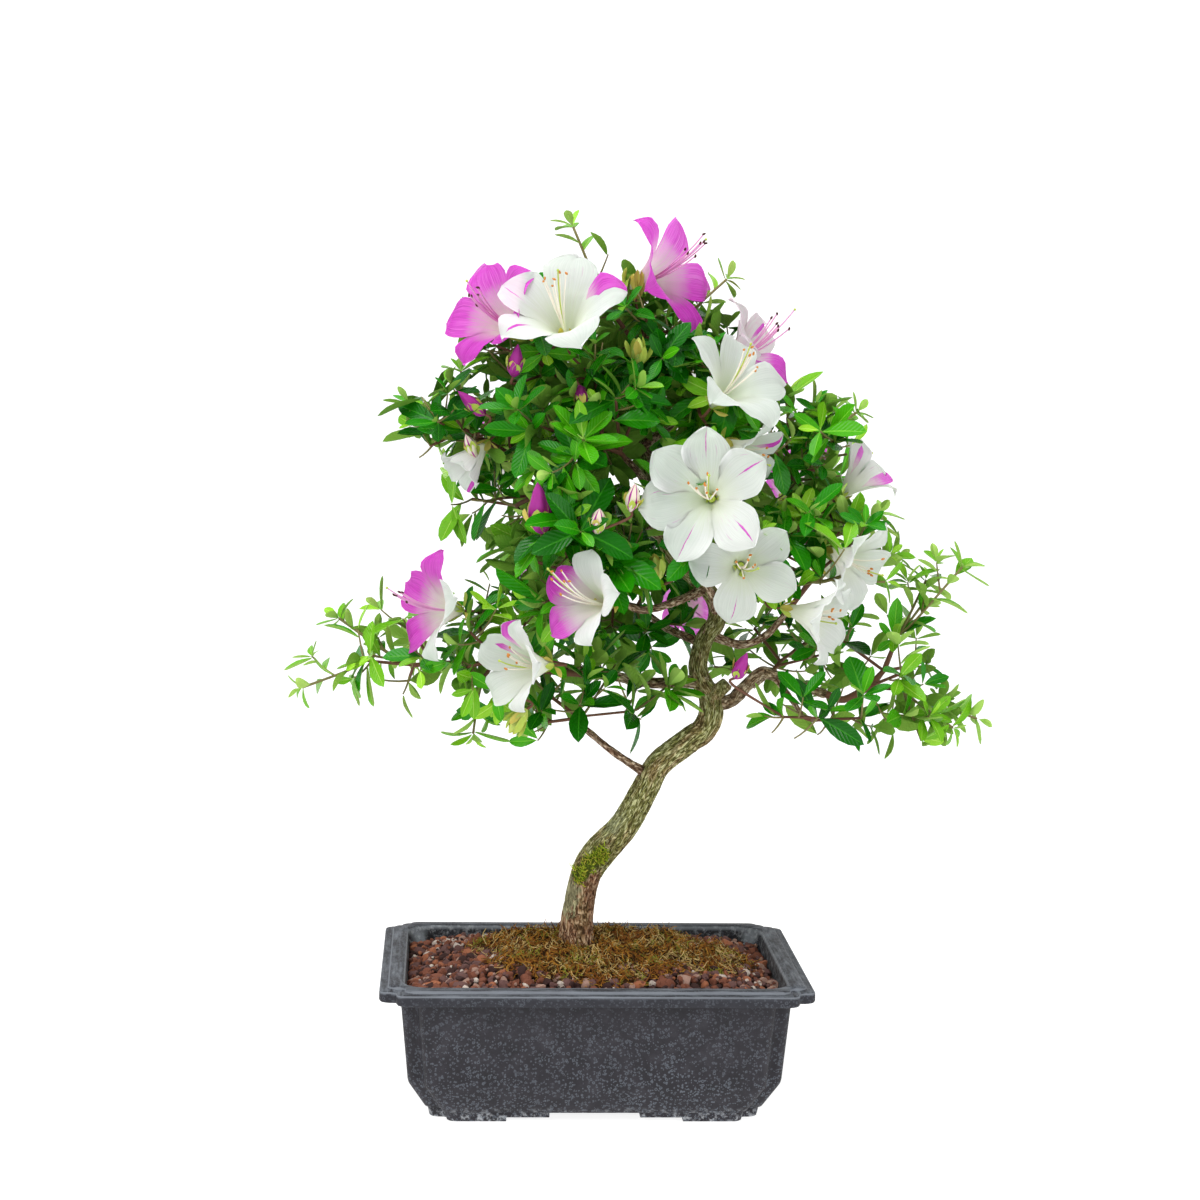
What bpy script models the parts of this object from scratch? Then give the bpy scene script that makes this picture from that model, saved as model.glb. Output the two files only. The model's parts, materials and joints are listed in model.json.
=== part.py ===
"""Azalea bonsai: a Satsuki azalea grown as an informal upright bonsai in a plastic training pot.

Metres, +Z up. X runs along the pot, Y across it with the front at -Y, and Z = 0 is the plane
that the pot's feet stand on. Everything is modelled round the pot's centre and is moved at the
end, so that the origin lies under the middle of the whole plant's bounding box.

The crown is grown by one seeded rule: each mass of foliage has a space of its own, a stem that
meets its bough's tip, twigs that reach for evenly spread points in that space, a whorl of leaves
at each twig's end, and the blossoms that the mass carries.
"""

import math
import random

import bmesh
import bpy
import numpy as np
from mathutils import Matrix, Vector

CLEARANCE = 0.0003  # between solids that touch

# --- driving sizes -------------------------------------------------------------------------

POT_LENGTH = 0.213  # over the rim's flange
POT_WIDTH = 0.168
POT_HEIGHT = 0.0705
POT_CORNER = 0.0085  # side of the square step let into each corner
POT_EDGE_RADIUS = 0.0025
POT_FOOT_HEIGHT = 0.0046
DRAIN_RADIUS = 0.006
DRAIN_SPACING = 0.080

SOIL_EDGE_Z = 0.060  # the grit at the pot's wall, one centimetre below the rim
SOIL_CROWN_Z = 0.0735  # the mound's flat top, which the trunk stands on
FOOT_X, FOOT_Y = -0.007, 0.005  # the trunk's foot, measured from the pot's centre
# The mound's section: share of the way from the trunk's foot to the wall, and share of its rise.
MOUND = ((1.0, 0.0), (0.90, 0.16), (0.72, 0.50), (0.50, 0.80), (0.30, 0.97), (0.14, 1.0), (0.0, 1.0))
MOSS_X, MOSS_Y = 0.009, 0.002
MOSS_HALF_LENGTH, MOSS_HALF_WIDTH = 0.072, 0.052
# The moss mat's section: share of the way out to its edge, and height above the soil.
MOSS_SECTION = (
    (1.0, -0.0060),
    (1.0, 0.0006),
    (0.90, 0.0026),
    (0.66, 0.0030),
    (0.42, 0.0028),
    (0.22, 0.0026),
)

LEAF_LENGTH = 0.0305
LEAF_WIDTH = 0.0132
LEAF_THICKNESS = 0.0010
LEAF_SPACING = 0.0034  # at least this between a leaf and the twigs and leaves beside it
SHOOT_LEAF_SHARE = 0.62  # a long shoot's leaves against a whorl's
SHOOT_LEAF_SPACING = 0.019
TWIG_TIP_RADIUS = 0.0007
BUD_RADIUS = 0.0013  # the swollen joints of a twig, whose flanks draw out into leaves
WHORL_TURN = math.radians(38)  # each storey of a whorl against the one below
PIPE_POWER = 2.3
TWIG_SIDES = 3
CELL_MARGIN = 0.0003  # half the gap between two masses

BLOSSOM_DEPTH = 0.030  # calyx to mouth

# The trunk's centreline above the soil with its radius: x, y, z, r.
TRUNK_LINE = (
    (-0.0070, 0.005, 0.0738, 0.0104),
    (-0.0070, 0.005, 0.0780, 0.0090),
    (-0.0067, 0.005, 0.0920, 0.0081),
    (-0.0038, 0.004, 0.1090, 0.0078),
    (0.0028, 0.003, 0.1220, 0.0080),
    (0.0163, 0.001, 0.1380, 0.0074),
    (0.0270, -0.001, 0.1580, 0.0068),
    (0.0334, -0.002, 0.1700, 0.0066),
    (0.0480, -0.003, 0.1822, 0.0064),
    (0.0552, -0.003, 0.1875, 0.0063),
    (0.0587, -0.003, 0.1950, 0.0062),
    (0.0583, -0.002, 0.2040, 0.0057),
    (0.0545, 0.000, 0.2110, 0.0053),
    (0.0522, 0.002, 0.2200, 0.0050),
    (0.0555, 0.004, 0.2330, 0.0048),
    (0.0615, 0.005, 0.2420, 0.0046),
    (0.0615, 0.005, 0.2510, 0.0043),
    (0.0555, 0.004, 0.2600, 0.0041),
    (0.0430, 0.001, 0.2705, 0.0037),
    (0.0340, 0.000, 0.2830, 0.0034),
    (0.0280, 0.002, 0.3040, 0.0030),
    (0.0225, 0.005, 0.3340, 0.0024),
    (0.0190, 0.004, 0.3620, 0.0017),
)
STUB = ((0.0590, -0.003, 0.2050), (0.0672, -0.004, 0.2120), 0.0036, 0.0030)  # a healed cut

# Each bough: the limb it grows from, its centreline, and its radius at root and tip.
BOUGHS = {
    "bough_low_left": (
        "trunk",
        ((0.028, -0.001, 0.164), (0.010, -0.005, 0.176), (-0.008, -0.009, 0.191)),
        0.0021,
        0.0014,
    ),
    "bough_left": (
        "trunk",
        (
            (0.054, 0.000, 0.2125), (0.030, -0.003, 0.2115), (0.010, -0.006, 0.215), (-0.008, -0.012, 0.217),
        ),
        0.0031,
        0.0020,
    ),
    "bough_left_tip": (
        "bough_left",
        (
            (0.006, -0.007, 0.2155), (-0.014, 0.008, 0.218), (-0.038, 0.010, 0.218), (-0.060, 0.002, 0.220),
        ),
        0.0017,
        0.0013,
    ),
    "bough_center_left": (
        "trunk",
        (
            (0.056, 0.004, 0.2595), (0.040, -0.006, 0.2535), (0.021, -0.016, 0.250), (0.004, -0.024, 0.259),
        ),
        0.0023,
        0.0015,
    ),
    "bough_right": (
        "trunk",
        (
            (0.058, -0.002, 0.201), (0.070, -0.001, 0.203), (0.084, 0.000, 0.2165), (0.096, 0.001, 0.213),
            (0.108, 0.002, 0.209), (0.118, 0.002, 0.206),
        ),
        0.0036,
        0.0022,
    ),
    "bough_right_under": (
        "bough_right",
        ((0.092, 0.001, 0.2145), (0.098, -0.010, 0.206), (0.103, -0.013, 0.199)),
        0.0015,
        0.0012,
    ),
    "bough_right_back": (
        "bough_right",
        ((0.080, 0.000, 0.2125), (0.083, 0.018, 0.208), (0.090, 0.030, 0.211)),
        0.0016,
        0.0012,
    ),
    "bough_right_mid": (
        "trunk",
        ((0.057, 0.004, 0.2365), (0.074, 0.006, 0.2305), (0.088, 0.006, 0.236), (0.098, 0.002, 0.249)),
        0.0023,
        0.0015,
    ),
    "bough_front": (
        "trunk",
        ((0.0615, 0.005, 0.2475), (0.057, -0.018, 0.258), (0.049, -0.031, 0.270)),
        0.0023,
        0.0016,
    ),
    "bough_left_mid": (
        "trunk",
        ((0.033, 0.000, 0.286), (0.006, 0.002, 0.300), (-0.018, 0.003, 0.311), (-0.034, 0.004, 0.320)),
        0.0024,
        0.0015,
    ),
    "bough_front_top": (
        "trunk",
        ((0.0275, 0.002, 0.305), (0.020, -0.014, 0.318), (0.012, -0.026, 0.326)),
        0.0021,
        0.0014,
    ),
    "bough_top_left": (
        "trunk",
        ((0.0235, 0.0045, 0.328), (0.007, 0.004, 0.343), (-0.010, 0.002, 0.357)),
        0.0019,
        0.0014,
    ),
    "bough_top_right": (
        "trunk",
        ((0.0235, 0.0045, 0.332), (0.038, 0.003, 0.343), (0.050, 0.001, 0.354)),
        0.0019,
        0.0014,
    ),
    "bough_right_high": (
        "trunk",
        ((0.0305, 0.001, 0.293), (0.054, 0.004, 0.305), (0.078, 0.006, 0.317)),
        0.0023,
        0.0015,
    ),
    "bough_back_low": (
        "trunk",
        ((0.0550, 0.004, 0.231), (0.039, 0.026, 0.236), (0.028, 0.038, 0.243)),
        0.0022,
        0.0015,
    ),
    "bough_back_left": (
        "trunk",
        ((0.0282, 0.002, 0.301), (0.008, 0.022, 0.303), (-0.014, 0.034, 0.304)),
        0.0021,
        0.0015,
    ),
    "bough_back_right": (
        "trunk",
        ((0.0515, 0.003, 0.2635), (0.064, 0.026, 0.268), (0.074, 0.038, 0.274)),
        0.0022,
        0.0015,
    ),
    "bough_back_top": (
        "trunk",
        ((0.0225, 0.005, 0.336), (0.024, 0.022, 0.345), (0.027, 0.034, 0.352)),
        0.0018,
        0.0013,
    ),
}

# Each mass: the limb that bears it, its centre, its half sizes, its seed and its count of whorls.
MASSES = {
    "foliage_left_tip": ("bough_left_tip", (-0.092, -0.004, 0.224), (0.034, 0.030, 0.022), 11, 4),
    "foliage_left_low": ("bough_left", (-0.050, -0.024, 0.231), (0.038, 0.034, 0.028), 32, 8),
    "foliage_low_center": ("bough_low_left", (-0.006, -0.014, 0.199), (0.036, 0.030, 0.016), 13, 4),
    "foliage_center_left": ("bough_center_left", (-0.010, -0.034, 0.278), (0.042, 0.036, 0.036), 14, 9),
    "foliage_front_center": ("bough_front", (0.048, -0.044, 0.290), (0.036, 0.030, 0.036), 15, 5),
    "foliage_left_mid": ("bough_left_mid", (-0.068, 0.002, 0.342), (0.034, 0.036, 0.020), 16, 6),
    "foliage_front_top": ("bough_front_top", (-0.006, -0.034, 0.340), (0.044, 0.036, 0.034), 28, 9),
    "foliage_top_left": ("bough_top_left", (-0.032, -0.004, 0.378), (0.034, 0.038, 0.022), 17, 5),
    "foliage_top": ("trunk", (0.022, -0.006, 0.390), (0.042, 0.040, 0.024), 18, 6),
    "foliage_top_right": ("bough_top_right", (0.064, -0.010, 0.364), (0.034, 0.038, 0.030), 19, 7),
    "foliage_right_high": ("bough_right_high", (0.094, -0.006, 0.330), (0.036, 0.038, 0.028), 20, 7),
    "foliage_right_mid": ("bough_right_mid", (0.110, -0.014, 0.276), (0.036, 0.038, 0.034), 21, 7),
    "foliage_right_low": ("bough_right", (0.148, 0.004, 0.224), (0.034, 0.036, 0.030), 22, 6),
    "foliage_right_under": ("bough_right_under", (0.112, -0.016, 0.197), (0.034, 0.024, 0.010), 23, 4),
    "foliage_right_back": ("bough_right_back", (0.100, 0.048, 0.222), (0.032, 0.028, 0.024), 29, 4),
    "foliage_back_low": ("bough_back_low", (0.012, 0.056, 0.252), (0.042, 0.034, 0.034), 34, 6),
    "foliage_back_left": ("bough_back_left", (-0.040, 0.052, 0.304), (0.038, 0.036, 0.034), 25, 6),
    "foliage_back_right": ("bough_back_right", (0.090, 0.056, 0.288), (0.040, 0.036, 0.038), 26, 6),
    "foliage_back_top": ("bough_back_top", (0.028, 0.054, 0.358), (0.042, 0.036, 0.034), 27, 6),
}

# The tips of long shoots that stand out of the crown. Each grows from the mass it reaches out of.
SHOOTS = (
    (-0.152, -0.008, 0.207),
    (-0.134, 0.006, 0.244),
    (-0.118, -0.016, 0.226),
    (-0.063, -0.020, 0.183),
    (-0.098, 0.000, 0.340),
    (-0.070, -0.004, 0.372),
    (-0.013, 0.004, 0.444),
    (0.072, 0.004, 0.414),
    (0.134, 0.000, 0.352),
    (0.188, -0.006, 0.276),
    (0.172, 0.012, 0.268),
    (0.200, 0.006, 0.194),
    (0.168, -0.010, 0.180),
    (0.040, -0.016, 0.213),
    (-0.028, 0.086, 0.232),
    (-0.078, 0.070, 0.318),
    (0.132, 0.040, 0.318),
    (0.044, 0.094, 0.374),
)

# Each open blossom: its calyx, the way it faces, its radius and its number of lobes.
BLOSSOMS = (
    ((0.052, -0.064, 0.309), (-0.27, -0.95, 0.10), 0.031, 6),
    ((0.067, -0.052, 0.276), (0.05, -0.96, -0.16), 0.025, 5),
    ((0.052, -0.040, 0.352), (0.62, -0.55, 0.56), 0.028, 5),
    ((-0.034, -0.030, 0.386), (-0.68, -0.58, 0.46), 0.028, 5),
    ((-0.010, -0.024, 0.385), (-0.16, -0.42, 0.89), 0.030, 5),
    ((0.011, -0.004, 0.411), (0.76, -0.56, 0.33), 0.029, 5),
    ((-0.068, -0.022, 0.249), (-0.90, -0.40, 0.12), 0.026, 5),
    ((0.002, -0.058, 0.257), (-0.60, -0.78, 0.18), 0.023, 5),
    ((-0.026, -0.044, 0.226), (-0.80, -0.58, -0.08), 0.024, 5),
    ((0.096, -0.040, 0.250), (0.88, -0.20, -0.42), 0.021, 5),
    ((0.122, -0.024, 0.280), (0.70, -0.36, -0.60), 0.022, 5),
    ((0.120, -0.006, 0.306), (0.72, 0.10, 0.68), 0.022, 5),
    ((0.070, 0.014, 0.368), (0.86, -0.10, 0.42), 0.022, 5),
    ((-0.062, -0.014, 0.328), (-0.60, -0.34, -0.72), 0.016, 5),
    ((0.030, 0.072, 0.244), (0.25, 0.85, -0.45), 0.024, 5),
    ((-0.010, 0.074, 0.268), (-0.30, 0.94, 0.10), 0.027, 5),
    ((-0.056, 0.070, 0.318), (-0.66, 0.70, 0.28), 0.027, 5),
    ((0.008, 0.072, 0.372), (-0.20, 0.78, 0.60), 0.028, 5),
    ((0.050, 0.068, 0.348), (0.40, 0.90, 0.10), 0.025, 5),
    ((0.102, 0.074, 0.300), (0.48, 0.84, 0.26), 0.028, 5),
    ((0.116, 0.058, 0.268), (0.90, 0.38, -0.20), 0.023, 5),
)


# --- materials and small helpers -----------------------------------------------------------


def material(name, color, roughness, metallic=0.0):
    made = bpy.data.materials.new(name)
    made.use_nodes = True
    shader = made.node_tree.nodes["Principled BSDF"]
    shader.inputs["Base Color"].default_value = (*color, 1.0)
    shader.inputs["Roughness"].default_value = roughness
    shader.inputs["Metallic"].default_value = metallic
    made.diffuse_color = (*color, 1.0)
    return made


def new_object(name, mesh, collection, *materials):
    made = bpy.data.objects.new(name, mesh)
    collection.objects.link(made)
    for one in materials:
        mesh.materials.append(one)
    return made


def from_bmesh(name, bm, collection, *materials):
    mesh = bpy.data.meshes.new(name)
    bm.to_mesh(mesh)
    bm.free()
    return new_object(name, mesh, collection, *materials)


def shade_round(made, angle=math.radians(40)):
    made.data.shade_smooth()
    made.data.set_sharp_from_angle(angle=angle)


def boolean(made, operation, other):
    """Adds a Boolean with another object, or with all objects of a collection."""
    modifier = made.modifiers.new(operation.lower(), "BOOLEAN")
    modifier.operation = operation
    modifier.solver = "EXACT"
    if isinstance(other, bpy.types.Collection):
        modifier.operand_type = "COLLECTION"
        modifier.collection = other
        modifier.material_mode = "TRANSFER"
    else:
        modifier.object = other
    return modifier


def apply_modifiers(made):
    bpy.context.view_layer.objects.active = made
    for modifier in list(made.modifiers):
        bpy.ops.object.modifier_apply(modifier=modifier.name)


def smooth_line(points, steps):
    """A Catmull-Rom curve through points of any dimension, with its ends kept."""
    knots = np.array(points, float)
    knots = np.vstack([2 * knots[0] - knots[1], knots, 2 * knots[-1] - knots[-2]])
    found = []
    for before, start, end, after in zip(knots, knots[1:], knots[2:], knots[3:]):
        for t in np.arange(steps) / steps:
            found.append(
                0.5
                * (
                    2 * start
                    + (end - before) * t
                    + (2 * before - 5 * start + 4 * end - after) * t**2
                    + (3 * start - before - 3 * end + after) * t**3
                )
            )
    found.append(knots[-2])
    return np.array(found)


def tube(name, line, collection, bark, grow=0.0, resolution=3):
    """A tapering limb: a poly curve with a bevel that follows each point's radius, made a mesh."""
    curve = bpy.data.curves.new(name, "CURVE")
    curve.dimensions = "3D"
    curve.bevel_depth = 1.0
    curve.bevel_resolution = resolution
    curve.use_fill_caps = True
    spline = curve.splines.new("POLY")
    spline.points.add(len(line) - 1)
    for point, (x, y, z, radius) in zip(spline.points, line):
        point.co = (x, y, z, 1.0)
        point.radius = radius + grow
    guide = bpy.data.objects.new(name + "_line", curve)
    collection.objects.link(guide)
    graph = bpy.context.evaluated_depsgraph_get()
    mesh = bpy.data.meshes.new_from_object(guide.evaluated_get(graph))
    bpy.data.objects.remove(guide)
    bm = bmesh.new()
    bm.from_mesh(mesh)
    bmesh.ops.remove_doubles(bm, verts=bm.verts, dist=0.00001)
    bmesh.ops.recalc_face_normals(bm, faces=bm.faces)
    bm.to_mesh(mesh)
    bm.free()
    mesh.name = name
    mesh.materials.clear()
    made = new_object(name, mesh, collection, bark)
    shade_round(made)
    return made


def hide_helper(made):
    made.hide_render = True
    made.display_type = "WIRE"
    return made


# --- the pot and what fills it -------------------------------------------------------------


def notched_outline(half_length, half_width, step, radius):
    """A rectangle with a square step let into each corner. Its convex edges are rounded."""
    arc = [math.radians(a) for a in (12, 78)]
    inner_length, inner_width = half_length - radius, half_width - radius
    round_off = [(radius * math.cos(a), radius * math.sin(a)) for a in arc]
    quarter = [(inner_length + x, inner_width - step + y) for x, y in round_off]
    quarter.append((half_length - 0.85 * step, half_width - 0.85 * step))
    quarter += [(inner_length - step + x, inner_width + y) for x, y in round_off]
    outline = []
    for sign_x, sign_y, turn in ((1, 1, 1), (-1, 1, -1), (-1, -1, 1), (1, -1, -1)):
        outline += [(sign_x * x, sign_y * y) for x, y in quarter[::turn]]
    return outline


def loft(name, rings, collection, *materials):
    """A closed body through rings of equally many points, capped at both ends."""
    bm = bmesh.new()
    rows = [[bm.verts.new(p) for p in ring] for ring in rings]
    for lower, upper in zip(rows, rows[1:]):
        for i in range(len(lower)):
            bm.faces.new((lower[i - 1], lower[i], upper[i], upper[i - 1]))
    bm.faces.new(rows[0][::-1])
    bm.faces.new(rows[-1])
    bmesh.ops.recalc_face_normals(bm, faces=bm.faces)
    return from_bmesh(name, bm, collection, *materials)


def pot_ring(half_length, z, step=POT_CORNER, inset=0.0):
    half_width = half_length - (POT_LENGTH - POT_WIDTH) / 2
    outline = notched_outline(half_length - inset, half_width - inset, step, POT_EDGE_RADIUS)
    return [(x, y, z) for x, y in outline]


def box(name, low, high, collection):
    bm = bmesh.new()
    bmesh.ops.create_cube(bm, size=1.0)
    size = Vector(high) - Vector(low)
    bmesh.ops.scale(bm, vec=size, verts=bm.verts)
    bmesh.ops.translate(bm, vec=(Vector(high) + Vector(low)) / 2, verts=bm.verts)
    return hide_helper(from_bmesh(name, bm, collection))


def inner_half_length(z):
    """The pot's inner wall: steep above the chamfered foot of the wall, then leaning in."""
    chamfer_z, rim_z, floor_z = 0.020, POT_HEIGHT, 0.0080
    if z >= chamfer_z:
        return 0.0901 + (0.0943 - 0.0901) * (z - chamfer_z) / (rim_z - chamfer_z)
    return 0.0829 + (0.0901 - 0.0829) * (z - floor_z) / (chamfer_z - floor_z)


def make_pot(collection, cutters, plastic):
    rim = POT_HEIGHT
    half = POT_LENGTH / 2
    underside = POT_FOOT_HEIGHT
    # half length, height: up the outside, round the flange, and down the inside
    section = (
        (0.0815, 0.0),
        (0.0825, underside),
        (0.0840, underside + 0.0010),
        (0.0922, 0.0200),
        (0.0964, rim - 0.0075),
        (half - 0.0015, rim - 0.0075),
        (half, rim - 0.0060),
        (half, rim - 0.0010),
        (half - 0.0046, rim - 0.0010),
        (half - 0.0052, rim),
        (half - 0.0112, rim),
        (inner_half_length(rim), rim - 0.0010),
        (inner_half_length(0.020), 0.0200),
        (inner_half_length(0.008), 0.0080),
    )
    pot = loft("pot", [pot_ring(a, z) for a, z in section], collection, plastic)
    # The feet are what is left at the corners between two stepped channels.
    reach, below = 0.12, -0.01
    channels = (
        ((-0.0437, -reach, below), (0.0437, reach, 0.0021)),
        ((-0.0224, -reach, below), (0.0224, reach, underside)),
        ((-reach, -0.0270, below), (reach, 0.0270, 0.0021)),
        ((-reach, -0.0140, below), (reach, 0.0140, underside)),
        ((-0.0705, -0.0455, below), (0.0705, 0.0455, underside)),
    )
    group = bpy.data.collections.new("pot_channels")
    cutters.children.link(group)
    for number, (low, high) in enumerate(channels):
        box(f"channel_{number}", low, high, group)
    for side in (-1, 1):
        bm = bmesh.new()
        bmesh.ops.create_cone(
            bm, cap_ends=True, segments=16, radius1=DRAIN_RADIUS, radius2=DRAIN_RADIUS, depth=0.04
        )
        bmesh.ops.translate(bm, vec=(side * DRAIN_SPACING / 2, 0, 0.006), verts=bm.verts)
        hide_helper(from_bmesh(f"drain_{side}", bm, group))
    boolean(pot, "DIFFERENCE", group)
    shade_round(pot)
    return pot


def soil_rings(grow=0.0):
    """The fill: down the pot's inner wall, and a mound on top whose crown lies at the trunk's foot."""
    gap = CLEARANCE - grow
    rings = [pot_ring(inner_half_length(z), z, inset=gap) for z in (0.0080 + gap, 0.0200)]
    rings.append(pot_ring(inner_half_length(SOIL_EDGE_Z), SOIL_EDGE_Z + grow, inset=gap))
    rim = np.array(rings[-1])
    foot = np.array((FOOT_X, FOOT_Y, 0.0))
    for share, height in MOUND[1:-1]:
        ring = foot + (rim - foot) * share
        ring[:, 2] = SOIL_EDGE_Z + (SOIL_CROWN_Z - SOIL_EDGE_Z) * height + grow
        rings.append([tuple(p) for p in ring])
    return rings


def soil_height(x, y):
    """The mound's height, by how far a point lies from the trunk's foot towards the pot's wall."""
    half_length = inner_half_length(SOIL_EDGE_Z)
    half_width = half_length - (POT_LENGTH - POT_WIDTH) / 2
    along, across = x - FOOT_X, y - FOOT_Y
    share = max(
        abs(along) / (half_length - math.copysign(FOOT_X, along)),
        abs(across) / (half_width - math.copysign(FOOT_Y, across)),
    )
    shares, heights = zip(*MOUND[::-1])
    return SOIL_EDGE_Z + (SOIL_CROWN_Z - SOIL_EDGE_Z) * np.interp(share, shares, heights)


def make_moss(collection, cutters, moss, soil_cutter, trunk_cutter):
    """A lumpy mat of moss on the mound, round the foot of the trunk, with a ragged edge."""
    lumps = random.Random(4)
    rings = []
    for share, depth in MOSS_SECTION:
        ring = []
        for number in range(22):
            turn = 2 * math.pi * number / 22
            edge = 1.0 + 0.07 * math.sin(3 * turn + 1.0) + 0.06 * math.sin(7 * turn)
            x = MOSS_X + share * edge * MOSS_HALF_LENGTH * math.cos(turn)
            y = MOSS_Y + share * edge * MOSS_HALF_WIDTH * math.sin(turn)
            lump = lumps.uniform(-0.0008, 0.0010) if share < 1 else 0.0
            ring.append((x, y, soil_height(x, y) + depth + lump))
        rings.append(ring)
    mat = loft("moss_mat", rings, collection, moss)
    boolean(mat, "DIFFERENCE", soil_cutter)
    boolean(mat, "DIFFERENCE", trunk_cutter)
    mat.data.shade_smooth()
    return mat


# --- limbs ---------------------------------------------------------------------------------


def limb_line(name):
    if name == "trunk":
        return np.array(TRUNK_LINE)
    _, path, root_radius, tip_radius = BOUGHS[name]
    line = smooth_line(path, 2 if len(path) > 3 else 1)
    along = np.linspace(0, 1, len(line))[:, None]
    return np.hstack([line, root_radius + (tip_radius - root_radius) * along])


class Limbs:
    """All limbs as tapering segments, for asking how far points are from the nearest bark."""

    def __init__(self, lines):
        self.start = np.vstack([line[:-1] for line in lines])
        self.end = np.vstack([line[1:] for line in lines])

    def clearance(self, points):
        points = points[:, None, :]
        way = (self.end - self.start)[None, :, :3]
        offset = points - self.start[None, :, :3]
        share = np.clip((offset * way).sum(2) / (way**2).sum(2), 0, 1)
        gap = np.linalg.norm(offset - share[..., None] * way, axis=2)
        radius = self.start[:, 3] + share * (self.end[:, 3] - self.start[:, 3])
        return (gap - radius).min()


# --- the crown's growth rule -----------------------------------------------------------------


def unit(vector):
    return vector / np.linalg.norm(vector)


def square_to(axis, rng):
    """Two unit vectors square to axis and to each other, turned at random about it."""
    helper = np.array((0.0, 0.0, 1.0)) if abs(axis[2]) < 0.9 else np.array((1.0, 0.0, 0.0))
    side = unit(np.cross(axis, helper))
    other = np.cross(axis, side)
    turn = rng.uniform(0, 2 * math.pi)
    return side * math.cos(turn) + other * math.sin(turn), other * math.cos(turn) - side * math.sin(turn)


def between(start, end, step=0.003):
    """Points along a line, a step or less apart, with both ends."""
    count = max(2, int(np.linalg.norm(end - start) / step) + 2)
    return start + (end - start) * np.linspace(0, 1, count)[:, None]


def power(points, name):
    """How far points lie outside a mass's sphere, as the cells of the crown are measured."""
    _, center, size, _, _ = MASSES[name]
    return ((points - np.array(center)) ** 2).sum(-1) - np.mean(size) ** 2


def owner_of(point):
    """The mass whose cell of the crown holds a point."""
    return min(MASSES, key=lambda name: power(point, name))


def in_cell(points, name, margin):
    """Whether points all lie in the mass's own cell, margin clear of its neighbours'."""
    own = power(points, name)
    center = np.array(MASSES[name][1])
    for other in MASSES:
        if other != name:
            apart = np.linalg.norm(np.array(MASSES[other][1]) - center)
            if (power(points, other) - own < 2 * margin * apart).any():
                return False
    return True


def blossom_depth(radius):
    return BLOSSOM_DEPTH * radius / 0.028


def clear_of_blossoms(points, margin, front=0.0):
    """Whether points keep out of every blossom's funnel, and out of the space before its mouth."""
    for calyx, axis, radius, _ in BLOSSOMS:
        way = unit(np.array(axis))
        offset = points - np.array(calyx)
        along = offset @ way
        away = np.linalg.norm(offset - along[:, None] * way, axis=1)
        depth = blossom_depth(radius)
        levels = (0.0, 0.4 * depth, 0.8 * depth, depth)
        wall = np.interp(along, levels, (0.002, 0.34 * radius, 0.9 * radius, radius))
        inside = (along > -margin) & (along < depth + margin) & (away < wall + margin)
        before = (along >= depth) & (along < depth + front) & (away < 0.75 * radius)
        if (inside | before).any():
            return False
    return True


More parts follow.
